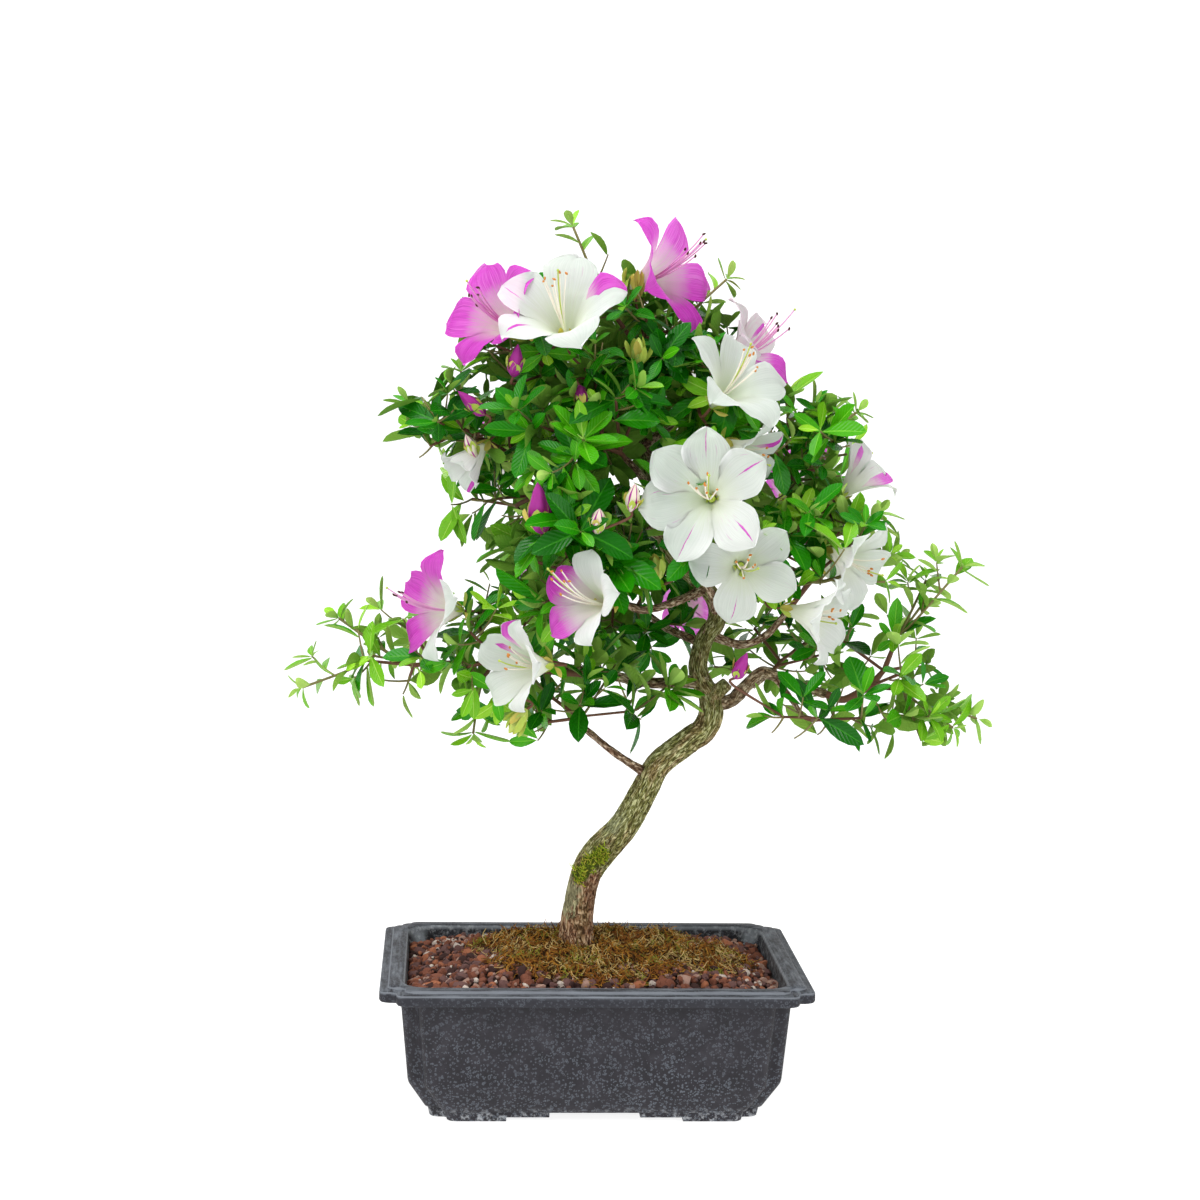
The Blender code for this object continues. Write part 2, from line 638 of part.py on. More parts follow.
class Plant:
    """One mass as it grows: joints of twigs, chains of joints, whorls and side leaves."""

    def __init__(self, name, limbs, lines):
        bearer, center, size, seed, _ = MASSES[name]
        self.name = name
        self.limbs = limbs
        self.rng = random.Random(seed)
        self.center, self.size = np.array(center), np.array(size)
        tip = lines[bearer][-1]
        self.way = unit(tip[:3] - lines[bearer][-2][:3])
        self.joints = [tip[:3] + CLEARANCE * self.way]
        self.ways = [self.way]
        self.parents = [None]
        self.chains = []
        self.whorls = {}  # the end joint of a twig, and the way its whorl faces
        self.leafy = set()  # the joints along shoots, which have leaves too
        self.small = set()  # the whorls at the ends of shoots
        self.stem_radius = 0.95 * tip[3]

    def free(self, points, margin):
        return (
            in_cell(points, self.name, CELL_MARGIN + BUD_RADIUS)
            and self.limbs.clearance(points) > margin
            and clear_of_blossoms(points, 0.0025)
        )

    def add_chain(self, parent, *points):
        """A twig from a joint through points; each of them becomes a joint too."""
        chain = [parent]
        for point in points:
            self.joints.append(np.array(point))
            self.ways.append(unit(self.joints[-1] - self.joints[chain[-1]]))
            self.parents.append(chain[-1])
            chain.append(len(self.joints) - 1)
        self.chains.append(chain)
        return chain[-1]

    def by_nearness(self, point):
        """The joints that a twig to this point could leave, best first: near, without turning back."""
        found = []
        for number, (joint, way) in enumerate(zip(self.joints, self.ways)):
            offset = point - joint
            length = np.linalg.norm(offset)
            if number > 0 and length > 0.005:
                found.append((length * (1.6 - 0.6 * (offset @ way) / length), number))
        return [number for _, number in sorted(found)]

    def grow_stem(self):
        """On along the bough for a stretch, and then to the heart of the mass."""
        start = self.joints[0]
        heart = self.center - 0.2 * self.size * np.array((0, 0, 1))
        span = np.linalg.norm(heart - start)
        first = start + self.way * 0.30 * span
        second = first + 0.5 * (heart - first) + self.way * 0.08 * span
        self.add_chain(0, first, second, heart)

    def candidate(self):
        while True:
            ball = np.array([self.rng.uniform(-1, 1) for _ in range(3)])
            if 0.3 < np.linalg.norm(ball) < 1:
                return self.center + unit(ball) * self.size * self.rng.uniform(0.42, 0.80)

    def reach(self, parent, point):
        """Whether a twig from a joint to this point keeps clear all the way."""
        start = self.joints[parent]
        return self.free(between(start, point), 0.0022)

    def grow_twigs(self, count):
        """Best-candidate points, each reached from the joint that suits it best."""
        targets = [self.joints[1]]
        for _ in range(count * 3):
            if len(targets) == count + 1:
                break
            tries = [self.candidate() for _ in range(16)]
            tries = [p for p in tries if self.free(p[None, :], 0.004)]
            tries = [p for p in tries if in_cell(p[None, :], self.name, 0.006)]
            if not tries:
                continue
            point = max(tries, key=lambda p: min(np.linalg.norm(p - t) for t in targets))
            for parent in self.by_nearness(point)[:3]:
                if self.reach(parent, point):
                    end = self.add_chain(parent, point)
                    targets.append(point)
                    outward = unit((point - self.center) / self.size)
                    axis = unit(outward + 0.6 * self.ways[end] + (0, 0, 0.35))
                    self.whorls[end] = self.roomiest(point, axis)
                    break

    def note_twigs(self):
        """Keeps points along all twigs, which leaves then stay off."""
        pieces = [pair for chain in self.chains for pair in zip(chain, chain[1:])]
        self.taken = np.vstack([between(self.joints[a], self.joints[b]) for a, b in pieces])

    def uncrowded(self, root, way, normal, length, width):
        """Whether a leaf stays off the mass's own twigs and leaves. It then counts as one of them."""
        side = np.cross(way, normal)
        spots = [root + way * length * s for s in (0.42, 0.6, 0.8, 1.0)]
        spots += [root + way * length * 0.48 + side * width * s for s in (-0.4, 0.4)]
        spots = np.array(spots)
        gaps = np.linalg.norm(spots[:, None, :] - self.taken[None, :, :], axis=2)
        if gaps.min() < LEAF_SPACING:
            return False
        self.taken = np.vstack([self.taken, spots])
        return True

    def roomiest(self, point, axis):
        """The way to face, near to this axis, in which a whorl at this point has most leaves."""
        side, other = square_to(axis, self.rng)
        ways = [axis] + [unit(axis + 0.8 * turn) for turn in (side, -side, other, -other)]
        return max(ways, key=lambda way: self.room(point, way))

    def room(self, point, axis):
        side, other = square_to(axis, random.Random(1))
        count = 0
        for number in range(6):
            turn = math.radians(60 * number)
            out = side * math.cos(turn) + other * math.sin(turn)
            way = 0.4 * axis + 0.9 * out
            normal = 0.9 * axis - 0.4 * out
            count += leaf_fits(self, point, way, normal, LEAF_LENGTH, LEAF_WIDTH)
        return count

    def grow_shoots(self):
        """Long shoots that stand out of the mass, bending up to their tips, with leaves all along."""
        for tip in SHOOTS:
            if owner_of(np.array(tip)) != self.name:
                continue
            end = np.array(tip) - 0.55 * SHOOT_LEAF_SHARE * LEAF_LENGTH * unit(np.array(tip) - self.center)
            for parent in self.by_nearness(self.center + 0.4 * (end - self.center)):
                start = self.joints[parent]
                length = np.linalg.norm(end - start)
                shares = np.linspace(0, 1, 13)[:, None]
                sag = np.array((0, 0, 0.24 * length)) * shares * (1 - shares)
                path = start + (end - start) * shares - sag
                if self.free(path[1:], 0.0022):
                    break
            else:
                raise ValueError(f"{self.name} has no way for the shoot to {tip}")
            count = max(2, int(0.75 * length / SHOOT_LEAF_SPACING))
            stops = np.linspace(0.25, 1.0, count)
            bends = [[np.interp(12 * stop, range(13), path[:, k]) for k in range(3)] for stop in stops]
            before = len(self.joints)
            joint = self.add_chain(parent, *bends)
            self.leafy.update(range(before, joint))
            self.whorls[joint] = self.ways[joint]
            self.small.add(joint)

    def grow_blossom_twig(self, calyx, axis):
        neck = calyx - axis * 0.009
        for parent in self.by_nearness(neck):
            path = between(self.joints[parent], neck)
            if self.limbs.clearance(path) > 0.0022 and clear_of_blossoms(path[:-1], 0.0012):
                self.add_chain(parent, neck, calyx + axis * 0.006)
                return
        raise ValueError(f"{self.name} can't reach the blossom at {calyx}")

    def radii(self):
        """Each joint's radius by the pipe rule: thick enough for all the twigs beyond it."""
        load = [0.0] * len(self.joints)
        for number in reversed(range(len(self.joints))):
            load[number] = max(load[number], TWIG_TIP_RADIUS**PIPE_POWER)
            if self.parents[number] is not None:
                load[self.parents[number]] += load[number]
        return [min(value ** (1 / PIPE_POWER), self.stem_radius) for value in load]


def leaf_points(root, way, normal, length, width, count, lines):
    """Points along a leaf, on lines from one edge of it to the other."""
    shares = np.linspace(0.08, 1.0, count)[:, None]
    middle = root + way * length * shares
    edge = np.cross(way, normal) * width / 2 * np.interp(shares, (0.0, 0.48, 1.0), (0.2, 1.0, 0.0))
    return np.vstack([middle + edge * line for line in np.linspace(-1, 1, lines)])


def leaf_fits(plant, root, way, normal, length, width, count=8, lines=3):
    points = leaf_points(root, way, normal, length, width, count, lines)
    return (
        in_cell(points, plant.name, CELL_MARGIN + LEAF_THICKNESS)
        and plant.limbs.clearance(points) > LEAF_THICKNESS + 2 * CLEARANCE
        and clear_of_blossoms(points, 0.0018, front=0.016)
    )


def leaf_on(plant, center, out, axis, tilt, size):
    """A leaf at a twig's flank. One that has no room stands up or shrinks, or is left out."""
    for share, shrink in ((1.0, 1.0), (0.8, 1.0), (1.2, 0.8), (0.9, 0.7)):
        spread = math.radians(max(tilt * share, 40))
        way = axis * math.cos(spread) + out * math.sin(spread)
        normal = axis * math.sin(spread) - out * math.cos(spread)
        length, width = LEAF_LENGTH * size * shrink, LEAF_WIDTH * size * shrink
        leaf = way, normal, length, width
        if leaf_fits(plant, center, *leaf) and leaf_fits(plant, center, *leaf, 22, 5):
            if plant.uncrowded(center, *leaf):
                return leaf
    return None


def with_leaves(plant, chain, nodes):
    """Adds the short storeys that bear leaves: one at a shoot's joints, and two at a twig's end."""
    found = [nodes[0]]
    for joint, node in zip(chain[1:], nodes[1:]):
        point, radius = node[:2]
        way = plant.ways[joint]
        if joint in plant.leafy:
            found.append((point - 0.0008 * way, max(radius, 0.0010), 0.0, 0.0, 0.0))
            found.append((point + 0.0008 * way, max(radius, 0.0010), WHORL_TURN, 58, SHOOT_LEAF_SHARE))
        elif joint in plant.whorls:
            axis = plant.whorls[joint]
            size = SHOOT_LEAF_SHARE if joint in plant.small else 1.0
            found.append((point, BUD_RADIUS, 0.0, 0.0, 0.0))
            found.append((point + 0.0015 * axis, BUD_RADIUS, WHORL_TURN, 74, size))
            found.append((point + 0.0029 * axis, 0.8 * BUD_RADIUS, WHORL_TURN, 52, 0.9 * size))
        else:
            found.append(node)
    return found


def draw_leaf(bm, flank, center, leaf):
    """Draws a twig's flank out into a leaf with a keel below, broad at its middle, then to a tip."""
    way, normal, length, width = leaf
    across = np.cross(normal, way)
    middle = center + way * length * 0.48
    left = bm.verts.new(middle - across * width / 2)
    right = bm.verts.new(middle + across * width / 2)
    keel = bm.verts.new(middle - normal * LEAF_THICKNESS)
    tip = bm.verts.new(center + way * length)
    low_left, low_right, high_right, high_left = flank
    for face in (
        (low_left, low_right, keel),
        (low_left, keel, left),
        (low_right, right, keel),
        (low_right, high_right, right),
        (high_left, low_left, left),
        (high_right, high_left, left),
        (high_right, left, right),
        (left, keel, tip),
        (keel, right, tip),
        (right, left, tip),
    ):
        bm.faces.new(face)


def make_twig(plant, nodes, group, bark, green):
    """A three-sided tapering twig through nodes.

    Each node is its point, its radius, its turn from the last one, and the tilt and the size of
    the leaves on the flanks between it and the node before. A size of 0 means no leaves.
    """
    points = [node[0] for node in nodes]
    ways = [unit(b - a) for a, b in zip(points, points[1:])]
    tangents = [ways[0]] + [unit(a + b) for a, b in zip(ways, ways[1:])] + [ways[-1]]
    side, _ = square_to(tangents[0], plant.rng)
    bm = bmesh.new()
    rows = []
    for (point, radius, turn, _, _), tangent in zip(nodes, tangents):
        side = unit(side - tangent * (side @ tangent))
        other = np.cross(tangent, side)
        side = side * math.cos(turn) + other * math.sin(turn)
        other = np.cross(tangent, side)
        angles = [2 * math.pi * k / TWIG_SIDES for k in range(TWIG_SIDES)]
        spokes = [side * math.cos(a) + other * math.sin(a) for a in angles]
        rows.append([bm.verts.new(point + radius * spoke) for spoke in spokes])
    bm.faces.new(rows[0][::-1])
    bm.faces.new(rows[-1])
    count = 0
    for lower, upper, (_, _, _, tilt, size), way in zip(rows, rows[1:], nodes[1:], ways):
        for k in range(TWIG_SIDES):
            flank = (lower[k], lower[(k + 1) % TWIG_SIDES], upper[(k + 1) % TWIG_SIDES], upper[k])
            leaf = None
            if size > 0:
                center = np.mean([np.array(vert.co) for vert in flank], axis=0)
                heart = np.mean([np.array(vert.co) for vert in (*lower, *upper)], axis=0)
                out = unit((center - heart) - way * ((center - heart) @ way))
                scale = size * plant.rng.uniform(0.85, 1.10)
                leaf = leaf_on(plant, center, out, way, tilt + plant.rng.uniform(-9, 9), scale)
            if leaf is None:
                bm.faces.new(flank)
            else:
                draw_leaf(bm, flank, center, leaf)
                count += 1
    bmesh.ops.recalc_face_normals(bm, faces=bm.faces)
    made = from_bmesh("twig", bm, group, bark, green)
    for face in made.data.polygons:
        face.material_index = int(face.area > 0.000006)
    return made, count


def make_blossom(calyx, axis, radius, lobes, group, petal, rng):
    """A funnel that opens from the calyx into broad lobes, round a hollow throat."""
    side, other = square_to(axis, rng)
    depth = blossom_depth(radius)
    pitch = 2 * math.pi / lobes
    bm = bmesh.new()

    def place(away, along, turn):
        out = side * math.cos(turn) + other * math.sin(turn)
        return bm.verts.new(calyx + axis * along + out * away)

    base = place(0.0, 0.0, 0.0)
    throat = place(0.0, 0.42 * depth, 0.0)
    flank = [place(0.30 * radius, 0.50 * depth, i * pitch) for i in range(lobes)]
    rim = []
    for i in range(lobes):
        for away, along, turn in ((0.64, 0.90, 0.0), (1.0, 1.0, 0.27), (1.0, 1.0, 0.73)):
            rim.append(place(away * radius, along * depth, (i + turn) * pitch))
    for i in range(lobes):
        after = (i + 1) % lobes
        cleft, left, right, next_cleft = rim[3 * i], rim[3 * i + 1], rim[3 * i + 2], rim[3 * after]
        bm.faces.new((base, flank[after], flank[i]))
        bm.faces.new((flank[i], flank[after], right, left))
        bm.faces.new((flank[i], left, cleft))
        bm.faces.new((flank[after], next_cleft, right))
        bm.faces.new((throat, cleft, left))
        bm.faces.new((throat, left, right))
        bm.faces.new((throat, right, next_cleft))
    bmesh.ops.recalc_face_normals(bm, faces=bm.faces)
    return from_bmesh("blossom", bm, group, petal)


def keep_main_body(made):
    """Drops loose scraps and the skins of sealed hollows: all but the largest connected surface."""
    bm = bmesh.new()
    bm.from_mesh(made.data)
    left = set(bm.verts)
    bodies = []
    while left:
        body, edge = set(), [left.pop()]
        while edge:
            vert = edge.pop()
            body.add(vert)
            for link in vert.link_edges:
                other = link.other_vert(vert)
                if other in left:
                    left.remove(other)
                    edge.append(other)
        bodies.append(body)
    bodies.sort(key=len)
    for body in bodies[:-1]:
        bmesh.ops.delete(bm, geom=list(body), context="VERTS")
    bm.to_mesh(made.data)
    bm.free()
    return [len(body) for body in bodies[:-1]]


def make_mass(plant, parts, bark, green, petal):
    """Fuses the mass's stem, twigs, leaves and blossoms into one body."""
    group = bpy.data.collections.new(plant.name + "_parts")
    bpy.context.scene.collection.children.link(group)
    for number, (calyx, axis, radius, lobes) in enumerate(BLOSSOMS):
        calyx, axis = np.array(calyx), unit(np.array(axis))
        if owner_of(calyx - axis * 0.009) == plant.name:
            plant.grow_blossom_twig(calyx, axis)
            make_blossom(calyx, axis, radius, lobes, group, petal, random.Random(100 + number))
    radii = plant.radii()
    plant.note_twigs()
    mass, leaves = None, 0
    for chain in plant.chains:
        nodes = [(plant.joints[j], radii[j], 0.0, 0.0, 0.0) for j in chain]
        if mass is not None:
            root = min(0.85 * radii[chain[0]], 1.25 * radii[chain[1]])
            nodes[0] = (plant.joints[chain[0]], root, 0.0, 0.0, 0.0)
        nodes = with_leaves(plant, chain, nodes)
        made, count = make_twig(plant, nodes, group if mass else parts, bark, green)
        mass = mass or made
        leaves += count
    mass.name = mass.data.name = plant.name
    boolean(mass, "UNION", group)
    apply_modifiers(mass)
    scraps = keep_main_body(mass)
    for helper in list(group.objects):
        bpy.data.objects.remove(helper)
    bpy.data.collections.remove(group)
    print(plant.name, "whorls:", len(plant.whorls), "leaves:", leaves, "scraps:", scraps)
    return leaves


# --- the whole plant -----------------------------------------------------------------------


def move_origin_under_plant(parts):
    """Puts the origin under the middle of the plant's bounding box, by way of one empty."""
    bpy.context.view_layer.update()
    graph = bpy.context.evaluated_depsgraph_get()
    corners = []
    for made in parts.objects:
        shown = made.evaluated_get(graph)
        corners += [made.matrix_world @ Vector(c) for c in shown.bound_box]
    low = [min(c[k] for c in corners) for k in range(2)]
    high = [max(c[k] for c in corners) for k in range(2)]
    anchor = bpy.data.objects.new("stand", None)
    bpy.context.scene.collection.objects.link(anchor)
    for made in bpy.data.objects:
        if made.type == "MESH":
            made.parent = anchor
    anchor.location = (-(low[0] + high[0]) / 2, -(low[1] + high[1]) / 2, 0.0)


def main():
    for old in list(bpy.data.objects):
        bpy.data.objects.remove(old)
    parts = bpy.data.collections.new("azalea_bonsai")
    cutters = bpy.data.collections.new("cutters")
    for group in (parts, cutters):
        bpy.context.scene.collection.children.link(group)
    cutters.hide_render = True

    plastic = material("black_plastic", (0.045, 0.045, 0.052), 0.55)
    grit = material("lava_grit", (0.14, 0.055, 0.035), 0.95)
    moss = material("dry_moss", (0.20, 0.12, 0.03), 0.98)
    bark = material("bark", (0.17, 0.13, 0.07), 0.9)
    green = material("leaf", (0.045, 0.19, 0.022), 0.45)
    petal = material("petal", (0.86, 0.80, 0.87), 0.5)

    make_pot(parts, cutters, plastic)
    loft("soil", soil_rings(), parts, grit)
    soil_cutter = hide_helper(loft("soil_cutter", soil_rings(grow=CLEARANCE), cutters, grit))

    lines = {name: limb_line(name) for name in ("trunk", *BOUGHS)}
    trunk = tube("trunk", lines["trunk"], parts, bark)
    stub_start, stub_end, stub_radius, stub_end_radius = STUB
    stub_line = [(*stub_start, stub_radius), (*stub_end, stub_end_radius)]
    boolean(trunk, "UNION", hide_helper(tube("stub", stub_line, cutters, bark)))
    bearers = {"trunk"} | {bough[0] for bough in BOUGHS.values()}
    limb_cutters = {}
    for name in sorted(bearers):
        line = lines[name]
        if name == "trunk":
            line = np.vstack([line[0] - np.array((0, 0, 0.004, 0)), line])
        cutter = tube(name + "_cutter", line, cutters, bark, grow=CLEARANCE, resolution=3)
        limb_cutters[name] = hide_helper(cutter)
    for name, (bearer, _, _, _) in BOUGHS.items():
        bough = tube(name, lines[name], parts, bark, resolution=2)
        boolean(bough, "DIFFERENCE", limb_cutters[bearer])
    make_moss(parts, cutters, moss, soil_cutter, limb_cutters["trunk"])

    limbs = Limbs(list(lines.values()))
    leaf_count = 0
    for name in MASSES:
        plant = Plant(name, limbs, lines)
        plant.grow_stem()
        plant.grow_twigs(MASSES[name][4])
        plant.grow_shoots()
        leaf_count += make_mass(plant, parts, bark, green, petal)
    move_origin_under_plant(parts)
    print("leaves:", leaf_count)


main()
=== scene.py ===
import json
import math
import random

import bmesh
import bpy
import numpy as np
from mathutils import Matrix, Vector, noise

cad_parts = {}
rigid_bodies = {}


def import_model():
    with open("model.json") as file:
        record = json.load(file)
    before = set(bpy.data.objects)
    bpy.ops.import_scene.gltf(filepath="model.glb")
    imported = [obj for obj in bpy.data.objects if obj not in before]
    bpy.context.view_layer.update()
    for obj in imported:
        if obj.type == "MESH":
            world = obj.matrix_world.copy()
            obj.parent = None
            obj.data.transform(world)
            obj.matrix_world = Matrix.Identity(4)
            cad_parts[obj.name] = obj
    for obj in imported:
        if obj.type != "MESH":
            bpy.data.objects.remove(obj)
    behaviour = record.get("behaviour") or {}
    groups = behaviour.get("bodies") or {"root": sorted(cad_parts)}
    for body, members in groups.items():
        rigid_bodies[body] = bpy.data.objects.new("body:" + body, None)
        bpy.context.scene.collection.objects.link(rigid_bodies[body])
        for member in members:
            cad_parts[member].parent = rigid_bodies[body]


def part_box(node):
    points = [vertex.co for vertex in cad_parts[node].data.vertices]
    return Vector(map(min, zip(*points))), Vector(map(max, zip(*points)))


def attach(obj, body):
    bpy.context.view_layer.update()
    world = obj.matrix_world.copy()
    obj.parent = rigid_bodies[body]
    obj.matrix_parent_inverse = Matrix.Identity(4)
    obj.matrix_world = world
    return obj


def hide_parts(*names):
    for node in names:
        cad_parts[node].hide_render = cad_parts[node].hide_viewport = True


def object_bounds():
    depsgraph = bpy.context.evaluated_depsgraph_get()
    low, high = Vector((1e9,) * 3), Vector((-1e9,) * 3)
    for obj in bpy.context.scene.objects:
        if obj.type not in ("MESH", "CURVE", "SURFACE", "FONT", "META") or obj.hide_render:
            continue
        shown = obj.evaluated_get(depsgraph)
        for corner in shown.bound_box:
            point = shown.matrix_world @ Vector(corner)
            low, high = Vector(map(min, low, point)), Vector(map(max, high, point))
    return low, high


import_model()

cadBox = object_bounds()
potLow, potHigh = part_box("pot")
potMiddle = np.array(((potLow.x + potHigh.x) / 2, (potLow.y + potHigh.y) / 2, 0.0))
millimetre = 0.001
goldenTurn = math.radians(137.5)


def linear(hexCode):
    channels = [int(hexCode[k:k + 2], 16) / 255 for k in (1, 3, 5)]
    return [c / 12.92 if c <= 0.04045 else ((c + 0.055) / 1.055) ** 2.4 for c in channels] + [1.0]


def setSockets(node, values):
    # a value that is another node's output is linked
    for name, value in values.items():
        if isinstance(value, bpy.types.NodeSocket):
            node.id_data.links.new(value, node.inputs[name])
        else:
            node.inputs[name].default_value = linear(value) if isinstance(value, str) else value


def addNode(tree, kind, settings=None, *values, output=0):
    # values go to the node's first sockets in turn, settings to those of their names or to the node
    node = tree.nodes.new("ShaderNode" + kind)
    setSockets(node, dict(enumerate(values)))
    for name, value in (settings or {}).items():
        if name == "stops":
            ramp = node.color_ramp.elements
            while len(ramp) < len(value):
                ramp.new(0.5)
            for element, (place, shade) in zip(ramp, value):
                element.position = place
                element.color = linear(shade) if isinstance(shade, str) else (shade, shade, shade, 1.0)
        elif name in node.inputs:
            setSockets(node, {name: value})
        else:
            setattr(node, name, value)
    return node.outputs[output]


def newFinish(name, settings):
    finish = bpy.data.materials.new(name)
    finish.use_nodes = True
    shader = finish.node_tree.nodes["Principled BSDF"]
    setSockets(shader, settings)
    finish.diffuse_color = shader.inputs["Base Color"].default_value
    return finish, finish.node_tree, shader


def meshFrom(bm, name):
    mesh = bpy.data.meshes.new(name)
    bm.to_mesh(mesh)
    bm.free()
    return mesh


def addObject(name, data):
    made = bpy.data.objects.new(name, data)
    bpy.context.scene.collection.objects.link(made)
    return made


def unit(vector):
    return vector / np.linalg.norm(vector)


def mm(*values):
    return np.array(values[0] if len(values) == 1 else values, float) * millimetre


def spoke(side, other, turn):
    return side * math.cos(turn) + other * math.sin(turn)


def lengthsAlong(line):
    return np.concatenate([[0], np.cumsum(np.linalg.norm(np.diff(line[:, :3], axis=0), axis=1))])


def smoothLine(points, steps):
    # a Catmull-Rom curve through points of any dimension, with its ends kept
    knots = np.array(points, float)
    knots = np.vstack([2 * knots[0] - knots[1], knots, 2 * knots[-1] - knots[-2]])
    found = []
    for before, start, end, after in zip(knots, knots[1:], knots[2:], knots[3:]):
        for t in np.arange(steps) / steps:
            found.append(0.5 * (2 * start + (end - before) * t
                         + (2 * before - 5 * start + 4 * end - after) * t**2
                         + (3 * start - before - 3 * end + after) * t**3))
    found.append(knots[-2])
    return np.array(found)


def carryFrames(line):
    # a side and an upper direction for each point of a line, carried along it without twist
    ways = np.gradient(line, axis=0)
    ways /= np.linalg.norm(ways, axis=1)[:, None]
    side = np.cross(ways[0], (0, 0, 1) if abs(ways[0][2]) < 0.9 else (1, 0, 0))
    sides = []
    for way in ways:
        side = unit(side - way * (side @ way))
        sides.append(side)
    return ways, np.array(sides), np.cross(ways, np.array(sides))


def ringFaces(rings, sides):
    # the quads of a tube: their corners' numbers, and each corner's place on the flat sheet
    row, column = np.mgrid[0:rings - 1, 0:sides]
    after = (column + 1) % sides
    faces = np.stack([row * sides + column, row * sides + after,
                      (row + 1) * sides + after, (row + 1) * sides + column], -1).reshape(-1, 4)
    u, v = column / sides, row / (rings - 1)
    du, dv = 1 / sides, 1 / (rings - 1)
    places = np.stack([np.stack([u, v], -1), np.stack([u + du, v], -1),
                       np.stack([u + du, v + dv], -1), np.stack([u, v + dv], -1)], 2)
    return faces, places.reshape(-1, 4, 2)


def spokesOf(line, sides):
    # the turns round a line, and the ways that point out from it at each of them
    _, side, upper = carryFrames(line)
    turns = np.arange(sides) * 2 * math.pi / sides
    return turns, (side[:, None] * np.cos(turns)[None, :, None]
                   + upper[:, None] * np.sin(turns)[None, :, None])


def closeTube(rings, sides, sheetPlace):
    # the faces of a tube whose last ring is closed by a fan to one more point
    faces, places = ringFaces(rings, sides)
    tip = rings * sides
    fan = [(tip - sides + k, tip - sides + (k + 1) % sides, tip, -1) for k in range(sides)]
    return np.vstack([faces, fan]), np.concatenate([places, np.full((sides, 4, 2), sheetPlace)])


def tubeForm(line, radii, sides):
    line = np.asarray(line, float)
    points = line[:, None] + spokesOf(line, sides)[1] * np.asarray(radii)[:, None, None]
    points = np.vstack([points.reshape(-1, 3), line[-1] + (line[-1] - line[-2]) * 0.02])
    return points, *closeTube(len(line), sides, 0.98)


class Basket:
    # gathers many small forms for one mesh: points, faces of 3 or 4, slots, sheet places and marks
    def __init__(self):
        self.points, self.faces, self.slots, self.places, self.marks = [], [], [], [], {}
        self.count = 0

    def add(self, points, faces, slots, places, **marks):
        faces = np.asarray(faces)
        self.points.append(points)
        self.faces.append(np.where(faces < 0, -1, faces + self.count))
        self.slots.append(np.broadcast_to(slots, len(faces)))
        self.places.append(places)
        for name, values in marks.items():
            self.marks.setdefault(name, []).append(np.broadcast_to(values, len(points)))
        self.count += len(points)

    def makePiece(self, name, finishes, slot, replaced=(), crease=40):
        points = np.concatenate(self.points) + potMiddle
        faces = np.concatenate(self.faces)
        real = faces >= 0
        mesh = bpy.data.meshes.new(name)
        mesh.vertices.add(len(points))
        mesh.vertices.foreach_set("co", points.ravel())
        mesh.loops.add(int(real.sum()))
        mesh.loops.foreach_set("vertex_index", faces[real].astype(np.int32))
        mesh.polygons.add(len(faces))
        starts = np.concatenate([[0], np.cumsum(real.sum(1))[:-1]])
        mesh.polygons.foreach_set("loop_start", starts.astype(np.int32))
        mesh.polygons.foreach_set("material_index", np.concatenate(self.slots).astype(np.int32))
        sheet = mesh.uv_layers.new(name="OFBake")
        sheet.data.foreach_set("uv", np.concatenate(self.places)[real].ravel())
        for mark, values in self.marks.items():
            made = mesh.attributes.new(mark, "FLOAT", "POINT")
            made.data.foreach_set("value", np.concatenate(values).astype(np.float32))
        mesh.update(calc_edges=True)
        for finish in finishes:
            mesh.materials.append(finish)
        mesh.shade_smooth()
        mesh.set_sharp_from_angle(angle=math.radians(crease))
        piece = addObject(name, mesh)
        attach(piece, "root")
        if replaced:
            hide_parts(*replaced)



view = {"place": (-75.8, -1419.1, 389.8), "yaw": 3.13, "pitch": -5.49, "roll": 0.9, "lens": 84.6}
studio = {"sky": 0.50, "sheet": "#A8A8A7", "glow": 0.86, "size": 7.0, "bend": 0.6, "rise": 3.0}
softboxes = (  # name, place, aim, width, height, watts
    ("overhead", (-0.3, -0.3, 1.7), (0.0, 0.0, 0.25), 0.9, 0.9, 17.0),
    ("key", (-1.3, -1.5, 1.25), (0.0, 0.0, 0.25), 0.8, 0.8, 17.0),
    ("fill", (1.5, -1.3, 0.75), (0.0, 0.0, 0.22), 1.0, 1.0, 12.0),
)


def makeCamera():
    yaw, pitch, roll = (math.radians(view[k]) for k in ("yaw", "pitch", "roll"))
    ahead = Vector((math.sin(yaw) * math.cos(pitch), math.cos(yaw) * math.cos(pitch), math.sin(pitch)))
    right = Vector((math.cos(yaw), -math.sin(yaw), 0))
    upper = right.cross(ahead)
    side = math.cos(roll) * right + math.sin(roll) * upper
    top = -math.sin(roll) * right + math.cos(roll) * upper
    camera = addObject("camera", bpy.data.cameras.new("camera"))
    camera.data.sensor_fit = "HORIZONTAL"
    camera.data.sensor_width = 36.0
    camera.data.lens = view["lens"]
    place = Vector(mm(view["place"]) + potMiddle)
    camera.matrix_world = Matrix((
        (side.x, top.x, -ahead.x, place.x), (side.y, top.y, -ahead.y, place.y),
        (side.z, top.z, -ahead.z, place.z), (0, 0, 0, 1)))
    bpy.context.scene.camera = camera


